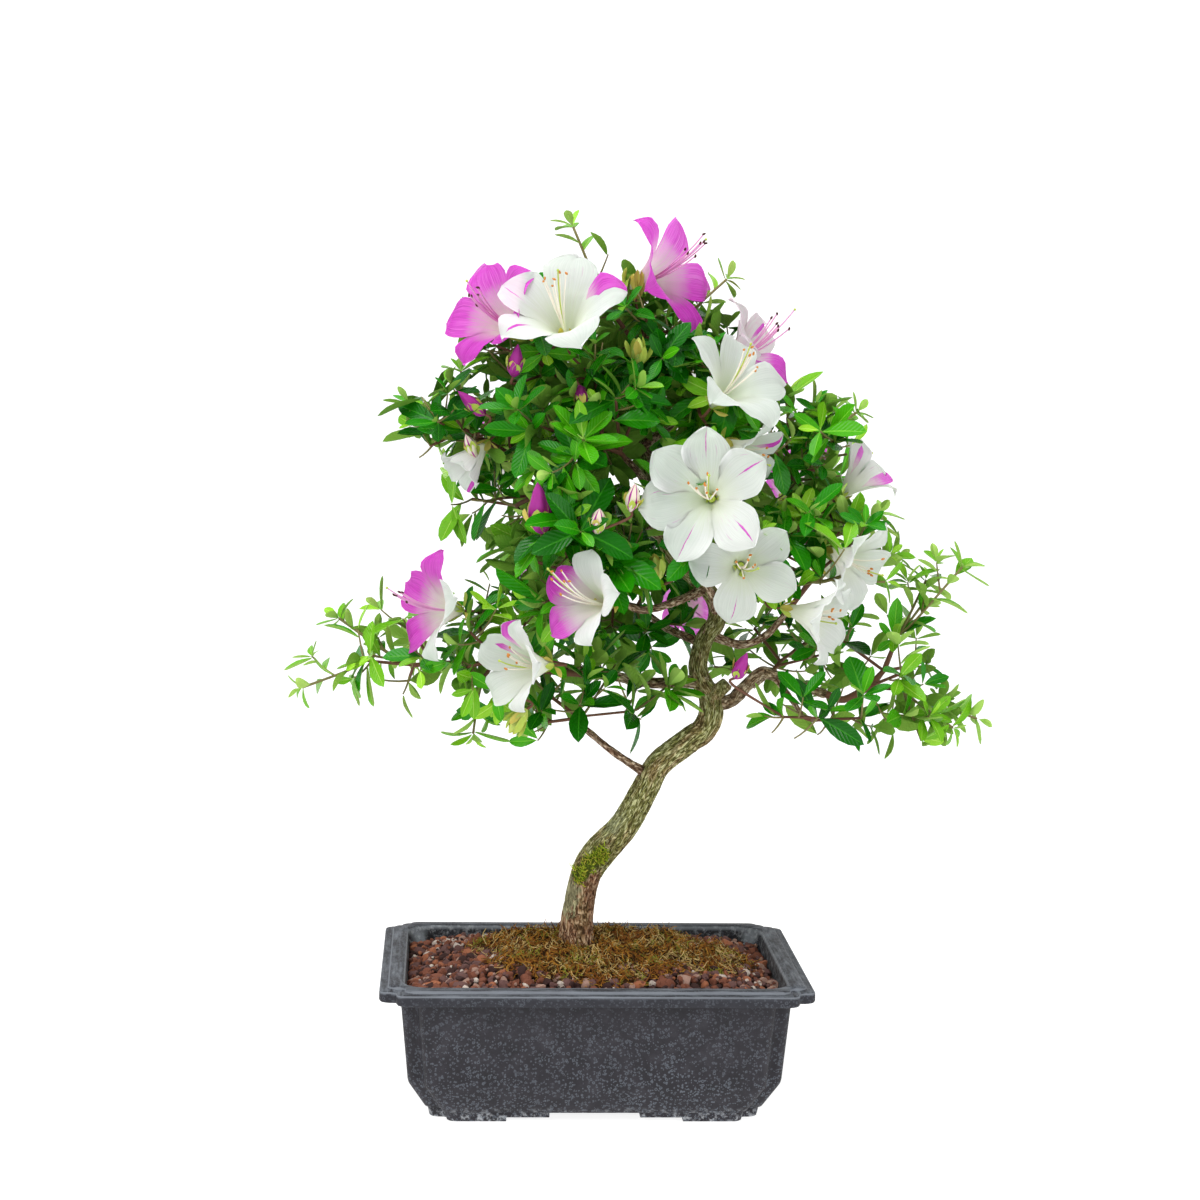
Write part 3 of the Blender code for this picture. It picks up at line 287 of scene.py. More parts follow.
def makeStudio():
    world = bpy.data.worlds.new("whiteRoom")
    bpy.context.scene.world = world
    world.use_nodes = True
    sky = world.node_tree.nodes["Background"]
    sky.inputs["Color"].default_value = (1.0, 1.0, 1.0, 1.0)
    sky.inputs["Strength"].default_value = studio["sky"]
    # a sheet of translucent white acrylic lit from behind, so that hardly a shadow lies on it
    acrylic, tree, shader = newFinish("litAcrylic", {
        "Base Color": studio["sheet"], "Roughness": 0.75, "Emission Color": "#FFFFFF",
        "Emission Strength": studio["glow"]})
    grain = addNode(tree, "TexNoise", {"Scale": 3.0, "Detail": 2.0})
    shade = addNode(tree, "ValToRGB", {"stops": ((0.3, "#A6A6A5"), (0.7, "#AAAAA9"))}, grain)
    setSockets(shader, {"Base Color": shade})
    # it lies flat, and bends up at the back
    bm = bmesh.new()
    half, bend = studio["size"] / 2, studio["bend"]
    profile = [(-half, 0.0), (half - bend, 0.0)]
    profile += [(half - bend + bend * math.sin(t), bend - bend * math.cos(t))
                for t in np.linspace(0.2, 1.57, 8)]
    profile.append((half, studio["rise"]))
    rows = [[bm.verts.new((x, y, z)) for x in (-half, half)] for y, z in profile]
    for near, far in zip(rows, rows[1:]):
        bm.faces.new((near[0], near[1], far[1], far[0])).smooth = True
    mesh = meshFrom(bm, "floor")
    mesh.materials.append(acrylic)
    addObject("floor", mesh)
    for name, place, aim, width, height, watts in softboxes:
        lamp = bpy.data.lights.new(name, "AREA")
        lamp.shape, lamp.size, lamp.size_y, lamp.energy = "RECTANGLE", width, height, watts
        box = addObject(name, lamp)
        box.location = place
        box.rotation_euler = (Vector(aim) - Vector(place)).to_track_quat("-Z", "Y").to_euler()
    bpy.context.scene.view_settings.view_transform = "Standard"


makeCamera()
makeStudio()
print("camera, floor and light set")

# the pot, and in "fill" the height of the grit at its wall and round the trunk
pot = {"length": 213, "width": 168, "height": 70.5, "cornerStep": 8.5, "round": 4.2, "hollow": 3.0,
       "foot": 4.6, "drain": 6.0, "drainSpacing": 80, "mouthRound": 14.0, "insideFrom": 22}
narrower = (pot["length"] - pot["width"]) / 2
fill = {"edge": 60.0, "crown": 73.5, "foot": (-7.0, 5.0),
        "mound": ((1.0, 0.0), (0.90, 0.16), (0.72, 0.50), (0.50, 0.80), (0.30, 0.97), (0.14, 1.0), (0.0, 1.0))}


def arc(x, y, radius, start, end, count=5):
    turns = np.radians(np.linspace(start, end, count))
    return [(x + radius * math.cos(t), y + radius * math.sin(t)) for t in turns]


def fourCorners(corner):
    outline = []
    for signX, signY, order in ((1, 1, 1), (-1, 1, -1), (-1, -1, 1), (1, -1, -1)):
        outline += [(signX * x, signY * y) for x, y in corner[::order]]
    return np.array(outline)


def potOutline(half):
    # a rectangle with a square step let into each corner, all its edges rounded
    across = half - narrower
    step, r, h = pot["cornerStep"], pot["round"], pot["hollow"]
    return fourCorners(arc(half - r, across - step - r, r, 0, 90)
                       + arc(half - step + h, across - step + h, h, 270, 180)
                       + arc(half - step - r, across - r, r, 0, 90))


def mouthOutline(half):
    # as many points round a rectangle with round corners
    r = pot["mouthRound"]
    return fourCorners(arc(half - r, half - narrower - r, r, 0, 90, 15))


def innerHalf(z):
    # the pot's inner wall: steep above the chamfer of its foot, then leaning in
    if z >= 20:
        return 90.1 + 4.2 * (z - 20) / (pot["height"] - 20)
    return 82.9 + 7.2 * (z - 8) / 12


def blockMesh(low, high):
    bm = bmesh.new()
    bmesh.ops.create_cube(bm, size=1.0)
    low, high = Vector(mm(low)), Vector(mm(high))
    bmesh.ops.scale(bm, vec=high - low, verts=bm.verts)
    bmesh.ops.translate(bm, vec=(high + low) / 2 + Vector(potMiddle), verts=bm.verts)
    return meshFrom(bm, "channel")


def drainMesh(side):
    bm = bmesh.new()
    radius = mm(pot["drain"])
    bmesh.ops.create_cone(bm, cap_ends=True, segments=32, radius1=radius, radius2=radius, depth=0.04)
    bmesh.ops.translate(bm, vec=Vector(mm(side * pot["drainSpacing"], 0, 6) + potMiddle), verts=bm.verts)
    return meshFrom(bm, "drain")


def potPlastic(inside):
    # moulded recycled polypropylene: slate grey and dull, mottled, with dried water rings and lime
    finish, tree, shader = newFinish("mouldedPolypropylene" + ("Inside" if inside else ""), {
        "Base Color": "#2E2E34", "Roughness": 0.62, "IOR": 1.49, "Specular IOR Level": 0.3})
    place = addNode(tree, "TexCoord", output="Object")
    # water rings: on cells of three sizes, 1.1 to 2.6 mm, each wobbled a little
    wobble = addNode(tree, "TexNoise", {"Scale": 620.0, "Detail": 2.0}, place, output="Color")
    shift = addNode(tree, "VectorMath", {"operation": "SCALE", "Scale": 0.0012}, wobble)
    shaken = addNode(tree, "VectorMath", {"operation": "ADD"}, place, shift)
    rings = 0.0
    for scale, low, high, rarity in ((390.0, 0.20, 0.29, 0.56), (600.0, 0.22, 0.33, 0.48),
                                     (940.0, 0.16, 0.36, 0.70)):
        cell = addNode(tree, "TexVoronoi", {"Scale": scale, "Randomness": 1.0}, shaken)
        stops = ((low - 0.07, 0.0), (low, 1.0), (high, 1.0), (high + 0.06, 0.0))
        band = addNode(tree, "ValToRGB", {"stops": stops}, cell)
        lot = addNode(tree, "SeparateColor", None, cell.node.outputs["Color"])
        rare = addNode(tree, "Math", {"operation": "GREATER_THAN"}, lot, rarity)
        ring = addNode(tree, "Math", {"operation": "MULTIPLY"}, band, rare)
        rings = addNode(tree, "Math", {"operation": "MAXIMUM"}, rings, ring)
    # the rings come in drifts, with clean plastic between, and are fewer near the rim
    drift = addNode(tree, "TexNoise", {"Scale": 34.0, "Detail": 4.0, "Roughness": 0.6}, place)
    drifts = addNode(tree, "ValToRGB", {"stops": ((0.36, 0.40), (0.66, 0.74))}, drift)
    height = addNode(tree, "SeparateXYZ", None, place, output="Z")
    onWall = addNode(tree, "MapRange", {"From Min": 0.010, "From Max": 0.060, "To Min": 0.96,
                                        "To Max": 0.42}, height)
    spread = addNode(tree, "Math", {"operation": "MULTIPLY"}, drifts, onWall)
    marks = addNode(tree, "Math", {"operation": "MULTIPLY"}, rings, spread)
    # cloudy mottle of the plastic itself, in patches of 4 to 20 mm
    cloud = addNode(tree, "TexNoise", {"Scale": 90.0, "Detail": 6.0, "Roughness": 0.66}, place)
    # the inside takes darker shades than the outside: painted shade in the pot's hollow
    shades = ("#0C0C10", "#17171C", "#2A2B31") if inside else ("#1A191E", "#28262C", "#3A393F")
    body = addNode(tree, "ValToRGB", {"stops": tuple(zip((0.28, 0.52, 0.78), shades))}, cloud)
    # the flange is bleached lighter and bluer by the light
    bleach = addNode(tree, "MapRange", {"From Min": 0.0612, "From Max": 0.0640,
                                        "To Max": 0.0 if inside else 0.5}, height)
    # dust and scratches lie pale on all that faces up, and run along each side of the flange; the paler, bluer
    # tops are partly a painted sheen of the light from above
    facing = addNode(tree, "SeparateXYZ", None, addNode(tree, "NewGeometry", output="Normal"), output="Z")
    across = addNode(tree, "SeparateXYZ", None, place)
    fromMiddle = addNode(tree, "Math", {"operation": "SUBTRACT"}, across, float(potMiddle[0]))
    farOut = addNode(tree, "Math", {"operation": "ABSOLUTE"}, fromMiddle)
    atEnd = addNode(tree, "Math", {"operation": "GREATER_THAN"}, farOut, 0.0945)
    lengthways = addNode(tree, "Mapping", {"Scale": (60.0, 420.0, 420.0)}, place)
    crosswise = addNode(tree, "Mapping", {"Scale": (420.0, 60.0, 420.0)}, place)
    scratch = addNode(tree, "MixRGB", None, atEnd, lengthways, crosswise)
    scratches = addNode(tree, "TexNoise", {"Scale": 1.0, "Detail": 5.0, "Roughness": 0.7}, scratch)
    streaks = addNode(tree, "MapRange", {"From Min": 0.42, "From Max": 0.72, "To Max": 0.6}, scratches)
    dustAndSheen = addNode(tree, "Math", {"operation": "MULTIPLY", "use_clamp": True}, facing, streaks)
    # edges that face half up are painted paler: wear, and a painted highlight along them
    level = addNode(tree, "Math", {"operation": "SUBTRACT"}, 1.0, facing)
    turning = addNode(tree, "Math", {"operation": "MULTIPLY"}, facing, level)
    wearAndHighlight = addNode(tree, "MapRange", {"From Min": 0.14, "From Max": 0.25, "To Max": 0.55}, turning)
    # lime: a thin line of whitish scale round the foot, and specks of it up the inside
    limeFoot = addNode(tree, "MapRange", {"From Min": 0.0015, "From Max": 0.075 if inside else 0.0085,
                                          "To Min": 0.72, "To Max": 0.30 if inside else 0.0}, height)
    crust = addNode(tree, "TexNoise", {"Scale": 330.0, "Detail": 5.0, "Roughness": 0.7}, place)
    crusty = addNode(tree, "ValToRGB", {"stops": ((0.50, 0.0), (0.62, 1.0))}, crust)
    lime = addNode(tree, "Math", {"operation": "MULTIPLY"}, limeFoot, crusty)
    for share, shade in ((bleach, "#292B32"), (dustAndSheen, "#8B929C"), (wearAndHighlight, "#8D939B"), (marks, "#6C737D"),
                         (lime, "#B9BDC2")):
        body = addNode(tree, "MixRGB", None, share, body, shade)
    dull = addNode(tree, "MapRange", {"To Min": 0.50, "To Max": 0.78}, cloud)
    # the mould's fine grain, 0.5 mm, under the scale
    grain = addNode(tree, "TexNoise", {"Scale": 1500.0, "Detail": 3.0}, place)
    relief = addNode(tree, "Math", {"operation": "MULTIPLY_ADD"}, grain, 0.35, marks)
    bump = addNode(tree, "Bump", {"Strength": 0.35, "Distance": 0.0004, "Height": relief})
    setSockets(shader, {"Base Color": body, "Roughness": dull, "Normal": bump})
    return finish


def makePot():
    rim, half = pot["height"], pot["length"] / 2
    # how far out the pot reaches at each height: up its outside, over the flange and down inside
    section = ((81.2, 0), (81.6, 0.4), (82.5, 4.6), (83.9, 5.5), (84.6, 6.6), (91.4, 18.2), (92.1, 19.6),
               (92.5, 21.4), (96.2, rim - 8.6), (96.6, rim - 7.8), (97.4, rim - 7.5),
               (half - 1.5, rim - 7.5), (half - 0.5, rim - 7.1), (half, rim - 6.2), (half, rim - 2.5),
               (half - 0.3, rim - 1.9), (half - 0.9, rim - 1.6), (half - 3.9, rim - 1.6),
               (half - 4.2, rim - 1.3), (half - 4.4, rim - 0.5), (half - 5.0, rim), (half - 10.6, rim),
               (half - 11.5, rim - 0.4), (innerHalf(rim), rim - 1.4), (innerHalf(68), 67.5),
               (innerHalf(62), 62), (innerHalf(20), 20), (innerHalf(8), 8))
    bm = bmesh.new()
    rows = []
    for reach, z in section:
        outline = (mouthOutline if reach < half - 10 and z > 65 else potOutline)(reach)
        ring = np.column_stack([outline, np.full(len(outline), z)])
        rows.append([bm.verts.new(p) for p in mm(ring) + potMiddle])
    for number, (lower, upper) in enumerate(zip(rows, rows[1:])):
        for k in range(len(lower)):
            face = bm.faces.new((lower[k - 1], lower[k], upper[k], upper[k - 1]))
            face.material_index = int(number >= pot["insideFrom"])
    bm.faces.new(rows[0][::-1])
    bm.faces.new(rows[-1]).material_index = 1
    bmesh.ops.recalc_face_normals(bm, faces=bm.faces)
    shell = addObject("pot_shell", meshFrom(bm, "pot_shell"))
    for inside in (False, True):
        shell.data.materials.append(potPlastic(inside))
    # stepped channels under the pot leave its four feet, and two holes drain it
    group = bpy.data.collections.new("channels")
    bpy.context.scene.collection.children.link(group)
    far, foot = 120, pot["foot"]
    channels = (((-43.7, -far, -10), (43.7, far, 2.1)), ((-22.4, -far, -10), (22.4, far, foot)),
                ((-far, -27, -10), (far, 27, 2.1)), ((-far, -14, -10), (far, 14, foot)),
                ((-70.5, -45.5, -10), (70.5, 45.5, foot)))
    cutters = [blockMesh(low, high) for low, high in channels] + [drainMesh(side) for side in (-0.5, 0.5)]
    for cutter in cutters:
        group.objects.link(bpy.data.objects.new("cutter", cutter))
    cut = shell.modifiers.new("channels", "BOOLEAN")
    cut.operation, cut.solver, cut.operand_type, cut.collection = "DIFFERENCE", "EXACT", "COLLECTION", group
    soft = shell.modifiers.new("softEdges", "BEVEL")
    soft.width, soft.segments, soft.limit_method, soft.angle_limit = 0.0003, 2, "ANGLE", math.radians(60)
    bpy.context.view_layer.objects.active = shell
    for modifier in list(shell.modifiers):
        bpy.ops.object.modifier_apply(modifier=modifier.name)
    for cutter in list(group.objects):
        bpy.data.objects.remove(cutter)
    bpy.data.collections.remove(group)
    shell.data.shade_smooth()
    shell.data.set_sharp_from_angle(angle=math.radians(38))
    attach(shell, "root")
    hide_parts("pot")


makePot()
print("pot moulded")



# what fills the pot: lava grit and a mat of dry moss
grit = {"pitch": 4.6, "small": 1100, "large": 170, "seed": 3, "facets": 7, "forms": 24, "size": (2.4, 4.6),
        "smallSize": (1.1, 1.9), "largeSize": (4.4, 6.4), "cornerFree": 8.0}
bedShares = (0.97, 0.92, 0.86, 0.79, 0.72, 0.64, 0.55, 0.46, 0.37, 0.28, 0.2, 0.12, 0.05)
stones = (  # name, colour, how many in a hundred
    ("lavaRedBrown", "#7C4C3B", 34), ("lavaPurple", "#6A4C48", 25), ("lavaOrange", "#A06448", 11),
    ("lavaDark", "#3F2A27", 13), ("lavaPink", "#A88678", 11), ("lavaCrust", "#CBBDB2", 6),
)
mossMat = {"middle": (9, 2), "half": (72, 52), "strands": 9000, "steps": 6, "seed": 5, "length": (3.5, 9),
           "thick": 0.25, "trunkFree": 9.0, "rings": 16, "around": 72}
mossShades = (("mossRust", "#8C5826"), ("mossOchre", "#AE7A30"), ("mossBrown", "#442B14"),
              ("mossStraw", "#CCB074"), ("mossOlive", "#7A6A30"), ("mossGreen", "#8C8C36"))


def soilHeight(x, y):
    footX, footY = fill["foot"]
    half = innerHalf(fill["edge"])
    along, across = x - footX, y - footY
    share = np.maximum(np.abs(along) / (half - np.sign(along) * footX),
                       np.abs(across) / (half - narrower - np.sign(across) * footY))
    shares, heights = zip(*fill["mound"][::-1])
    return fill["edge"] + (fill["crown"] - fill["edge"]) * np.interp(share, shares, heights)


def mossShare(x, y):
    # 0 in the middle of the moss and 1 at its ragged edge
    (middleX, middleY), (halfX, halfY) = mossMat["middle"], mossMat["half"]
    turn = np.arctan2((y - middleY) / halfY, (x - middleX) / halfX)
    edge = 1.0 + 0.09 * np.sin(3 * turn + 1.0) + 0.07 * np.sin(7 * turn) + 0.05 * np.sin(13 * turn + 2.0)
    return np.hypot((x - middleX) / halfX, (y - middleY) / halfY) / edge


def wave(x, y, scale, seed):
    return noise.noise(Vector((x / scale, y / scale, seed)))


def mossHeight(x, y):
    # the mat's top: a thin skin with cushions of 10 to 20 mm on it
    share = mossShare(x, y)
    lump = 2.3 + 4.6 * wave(x, y, 15.0, 3.0) + 2.4 * wave(x, y, 6.0, 8.0)
    return soilHeight(x, y) + max(lump, 0.3) * np.clip((1.0 - share) * 4.0, -0.6, 1.0)


def grainFinish(name, settings, grain, bump, stretch=None, shades=None):
    # a material with fine relief on its flat sheet, and streaks where it has a darker and a lighter shade
    finish, tree, shader = newFinish(name, settings)
    place = addNode(tree, "UVMap", {"uv_map": "OFBake"})
    if stretch:
        place = addNode(tree, "Mapping", {"Scale": stretch}, place)
    fibre = addNode(tree, "TexNoise", grain, place)
    if shades:
        middle = linear(settings["Base Color"])[:3]
        dark, light = ([min(c * share, 1) for c in middle] + [1.0] for share in shades)
        setSockets(shader, {"Base Color": addNode(tree, "MixRGB", None, fibre, dark, light)})
    setSockets(shader, {"Normal": addNode(tree, "Bump", {**bump, "Height": fibre})})
    return finish


def stoneFinish(name, hexCode):
    # crushed lava: dull, rough and bubbled, each piece of one burnt colour
    return grainFinish(name, {"Base Color": hexCode, "Roughness": 0.93, "Specular IOR Level": 0.25},
                       {"Scale": 7.0, "Detail": 5.0, "Roughness": 0.75},
                       {"Strength": 0.8, "Distance": 0.0006})


def strandFinish(name, hexCode):
    # moss strands: thin, matt and fibrous, with no shine at all
    return grainFinish(name, {"Base Color": hexCode, "Roughness": 0.95, "Specular IOR Level": 0.15},
                       {"Scale": 14.0, "Detail": 2.0}, {"Strength": 0.6, "Distance": 0.0002})


def stoneForms(count, rng):
    # an icosphere cut flat by random planes: sharp-edged crushed stone
    bm = bmesh.new()
    bmesh.ops.create_icosphere(bm, subdivisions=2, radius=1.0)
    ball = np.array([v.co for v in bm.verts])
    faces = np.array([[v.index for v in f.verts] + [-1] for f in bm.faces])
    bm.free()
    places = np.stack([np.arctan2(ball[:, 1], ball[:, 0]) / 6.3 + 0.5, ball[:, 2] / 2.1 + 0.5], -1)
    forms = []
    for _ in range(count):
        form = ball * np.array([rng.uniform(0.8, 1.25) for _ in range(3)])
        for _ in range(grit["facets"]):
            normal = unit(np.array([rng.gauss(0, 1) for _ in range(3)]))
            beyond = np.maximum(form @ normal - rng.uniform(0.52, 0.85), 0)
            form = form - beyond[:, None] * normal
        form = form * (1 + 0.05 * np.array([noise.noise(Vector(p * 2.6)) for p in form]))[:, None]
        forms.append(form)
    return forms, faces, places[np.maximum(faces, 0)]


def turned(rng):
    w, x, y, z = unit(np.array([rng.gauss(0, 1) for _ in range(4)]))
    return np.array(((1 - 2 * (y * y + z * z), 2 * (x * y - w * z), 2 * (x * z + w * y)),
                     (2 * (x * y + w * z), 1 - 2 * (x * x + z * z), 2 * (y * z - w * x)),
                     (2 * (x * z - w * y), 2 * (y * z + w * x), 1 - 2 * (x * x + y * y))))


def makeSoil():
    # the bed under the stones: dark crumb, from the pot's floor up, just clear of its wall
    bed = Basket()
    rings = []
    footX, footY = fill["foot"]
    for z in (8.4, 20, fill["edge"]):
        outline = potOutline(innerHalf(z) - 0.35)
        rings.append(np.column_stack([outline, np.full(len(outline), z)]))
    rim = rings[-1]
    for share in bedShares:
        ring = rim.copy()
        ring[:, 0] = footX + (rim[:, 0] - footX) * share
        ring[:, 1] = footY + (rim[:, 1] - footY) * share
        ring[:, 2] = soilHeight(ring[:, 0], ring[:, 1]) - 0.9
        ring[:, 2] += [0.7 * wave(x, y, 5.0, 1.0) for x, y in ring[:, :2]]
        rings.append(ring)
    points = np.vstack([mm(np.vstack(rings)), mm(footX, footY, fill["crown"] - 1)])
    faces, places = closeTube(len(rings), len(rim), 0.5)
    bed.add(points, faces, 0, places)

    rng = random.Random(grit["seed"])
    forms, stoneFaces, stonePlaces = stoneForms(grit["forms"], rng)
    slots = [k for k, (_, _, share) in enumerate(stones) for _ in range(share)]
    half = innerHalf(fill["edge"])
    halfX, halfY = half - 1.5, half - 1.5 - narrower
    spots = []
    pitch = grit["pitch"]
    for x in np.arange(-halfX, halfX + 0.1, pitch):
        for y in np.arange(-halfY, halfY + 0.1, pitch):
            spots.append((x + rng.uniform(-0.4, 0.4) * pitch, y + rng.uniform(-0.4, 0.4) * pitch,
                          grit["size"], 0.1))
    for count, sizes, rise in ((grit["small"], grit["smallSize"], 1.7),
                               (grit["large"], grit["largeSize"], -0.2)):
        for _ in range(count):
            spots.append((rng.uniform(-halfX, halfX), rng.uniform(-halfY, halfY), sizes, rise))
    for x, y, (least, most), rise in spots:
        size = rng.uniform(least, most)
        form, spin, slot = rng.choice(forms), turned(rng), rng.choice(slots)
        room = half - 0.6 * size
        roomY = room - narrower
        x, y = min(max(x, -room), room), min(max(y, -roomY), roomY)
        free = grit["cornerFree"]
        underMoss = mossShare(x, y) < (0.8 if size > 4.2 else 0.62)
        if abs(x) > room - free and abs(y) > roomY - free or underMoss:
            continue
        at = np.array((x, y, soilHeight(x, y) + rise))
        bed.add(mm(form @ spin.T * size * 0.72 + at), stoneFaces, slot + 1, stonePlaces)
    finishes = [stoneFinish("lavaCrumb", "#2E1C14")]
    finishes += [stoneFinish(name, hexCode) for name, hexCode, _ in stones]
    bed.makePiece("lava_grit_bed", finishes, "lava_grit", ("soil",), crease=28)


def makeMoss():
    halves = Basket(), Basket()  # left and right of its middle
    rng = random.Random(mossMat["seed"])
    (middleX, middleY), (halfX, halfY) = mossMat["middle"], mossMat["half"]
    # a skin under the strands: at its very middle the share is 0, so the last ring is undefined
    rings, around = mossMat["rings"], mossMat["around"]
    points = []
    for row in range(rings):
        reach = 1.0 - row / (rings - 1)
        for k in range(around):
            turn = 2 * math.pi * k / around
            offX, offY = halfX * math.cos(turn) * reach * 0.98, halfY * math.sin(turn) * reach * 0.98
            atEdge = max(reach, 0.01)
            edge = mossShare(middleX + offX / atEdge, middleY + offY / atEdge)
            x, y = middleX + offX / edge, middleY + offY / edge
            tuckedIn = 1.2 if row == 0 else 0.0
            points.append((x, y, mossHeight(x, y) + 0.5 * wave(x, y, 2.4, 6.0) - tuckedIn))
    faces, places = ringFaces(rings, around)
    halves[0].add(mm(np.array(points)), faces, 2, places)

    # strands that wander over it and stand up a little at their ends
    footX, footY = fill["foot"]
    count, steps = mossMat["strands"], mossMat["steps"]
    draws = np.random.RandomState(mossMat["seed"])
    turn, reach = draws.uniform(0, 2 * math.pi, count), np.sqrt(draws.uniform(0, 1, count)) * 1.04
    x = middleX + halfX * reach * np.cos(turn)
    y = middleY + halfY * reach * np.sin(turn)
    keep = (mossShare(x, y) < 1.05) & (np.hypot(x - footX, y - footY) > mossMat["trunkFree"])
    x, y = x[keep], y[keep]
    count = len(x)
    heading = draws.uniform(0, 2 * math.pi, count)
    curl = draws.normal(0, 0.7, (count, 1)) + draws.normal(0, 0.45, (count, steps))
    length = draws.uniform(*mossMat["length"], count) / steps
    headings = heading[:, None] + np.cumsum(curl, axis=1)
    xs = x[:, None] + np.cumsum(np.cos(headings), axis=1) * length[:, None]
    ys = y[:, None] + np.cumsum(np.sin(headings), axis=1) * length[:, None]
    rise = np.abs(draws.normal(0, 1.0, count)) * 2.0
    share = np.linspace(0, 1, steps)
    edgeY = innerHalf(fill["edge"]) - 2 - narrower
    for k in range(count):
        line = np.column_stack([xs[k], np.clip(ys[k], -edgeY, edgeY), np.zeros(steps)])
        clump = wave(x[k], y[k], 11.0, 20.0) + 0.5 * rng.uniform(-1, 1)
        if wave(x[k], y[k], 9.0, 40.0) > 0.30 and rng.random() < 0.5:
            slot = 5
        elif rng.random() < 0.9:
            slot = int(np.clip(2.0 + 3.2 * clump, 0, 3.99))
        else:
            slot = 4
        lift = rise[k] * share + (0.25 + 1.6 * rng.random() ** 2)
        line[:, 2] = np.array([mossHeight(*point) for point in line[:, :2]]) + lift
        thick = mossMat["thick"] * rng.uniform(0.7, 1.5) * np.linspace(1.0, 0.55, steps)
        if math.hypot(line[-1, 0] - footX, line[-1, 1] - footY) >= mossMat["trunkFree"]:
            points, faces, places = tubeForm(line, thick, 3)
            halves[int(x[k] > middleX)].add(mm(points), faces, slot, places)
    finishes = [strandFinish(name, hexCode) for name, hexCode in mossShades]
    for name, half in zip(("dry_moss_mat_left", "dry_moss_mat_right"), halves):
        half.makePiece(name, finishes, "dry_moss", ("moss_mat",))


makeSoil()
print("grit poured")
makeMoss()
print("moss laid")



# All tables are in millimetres from the middle of the pot's foot.
trunkLine = (  # x, y, z, radius
    (-7, 5, 73.8, 10.4), (-7, 5, 78, 9), (-6.7, 5, 92, 8.1), (-3.8, 4, 109, 7.8),
    (2.8, 3, 122, 8), (16.3, 1, 138, 7.4), (27, -1, 158, 6.8), (33.4, -2, 170, 6.6),
    (48, -3, 182.2, 6.4), (55.2, -3, 187.5, 6.3), (58.7, -3, 195, 6.2), (58.3, -2, 204, 5.7),
    (54.5, 0, 211, 5.3), (52.2, 2, 220, 5), (55.5, 4, 233, 4.8), (61.5, 5, 242, 4.6),
    (61.5, 5, 251, 4.3), (55.5, 4, 260, 4.1), (43, 1, 270.5, 3.7), (34, 0, 283, 3.4),
    (28, 2, 304, 3), (22.5, 5, 334, 2.4), (19, 4, 362, 1.7),
)
boughTable = {  # what it grows from, its way, and its radius at its root and tip
    "low_left": ("trunk", ((28, -1, 164), (10, -5, 176), (-8, -9, 191)), 2.1, 1.4),
    "left": ("trunk", ((54, 0, 212.5), (30, -3, 211.5), (10, -6, 215), (-8, -12, 217)), 3.1, 2),
    "left_tip": ("left", ((6, -7, 215.5), (-14, 8, 218), (-38, 10, 218), (-60, 2, 220)), 1.7, 1.3),
    "center_left": ("trunk", ((56, 4, 259.5), (40, -6, 253.5), (21, -16, 250), (4, -24, 259)), 2.3, 1.5),
    "right": ("trunk", ((58, -2, 201), (70, -1, 203), (84, 0, 216.5), (96, 1, 213), (108, 2, 209),
                        (118, 2, 206)), 3.6, 2.2),
    "right_under": ("right", ((92, 1, 214.5), (98, -10, 206), (103, -13, 199)), 1.5, 1.2),
    "right_back": ("right", ((80, 0, 212.5), (83, 18, 208), (90, 30, 211)), 1.6, 1.2),
    "right_mid": ("trunk", ((57, 4, 236.5), (74, 6, 230.5), (88, 6, 236), (98, 2, 249)), 2.3, 1.5),
    "front": ("trunk", ((61.5, 5, 247.5), (57, -18, 258), (49, -31, 270)), 2.3, 1.6),
    "left_mid": ("trunk", ((33, 0, 286), (6, 2, 300), (-18, 3, 311), (-34, 4, 320)), 2.4, 1.5),
    "front_top": ("trunk", ((27.5, 2, 305), (20, -14, 318), (12, -26, 326)), 2.1, 1.4),
    "top_left": ("trunk", ((23.5, 4.5, 328), (7, 4, 343), (-10, 2, 357)), 1.9, 1.4),
    "top_right": ("trunk", ((23.5, 4.5, 332), (38, 3, 343), (50, 1, 354)), 1.9, 1.4),
    "right_high": ("trunk", ((30.5, 1, 293), (54, 4, 305), (78, 6, 317)), 2.3, 1.5),
    "back_low": ("trunk", ((55, 4, 231), (39, 26, 236), (28, 38, 243)), 2.2, 1.5),
    "back_left": ("trunk", ((28.2, 2, 301), (8, 22, 303), (-14, 34, 304)), 2.1, 1.5),
    "back_right": ("trunk", ((51.5, 3, 263.5), (64, 26, 268), (74, 38, 274)), 2.2, 1.5),
    "back_top": ("trunk", ((22.5, 5, 336), (24, 22, 345), (27, 34, 352)), 1.8, 1.3),
}
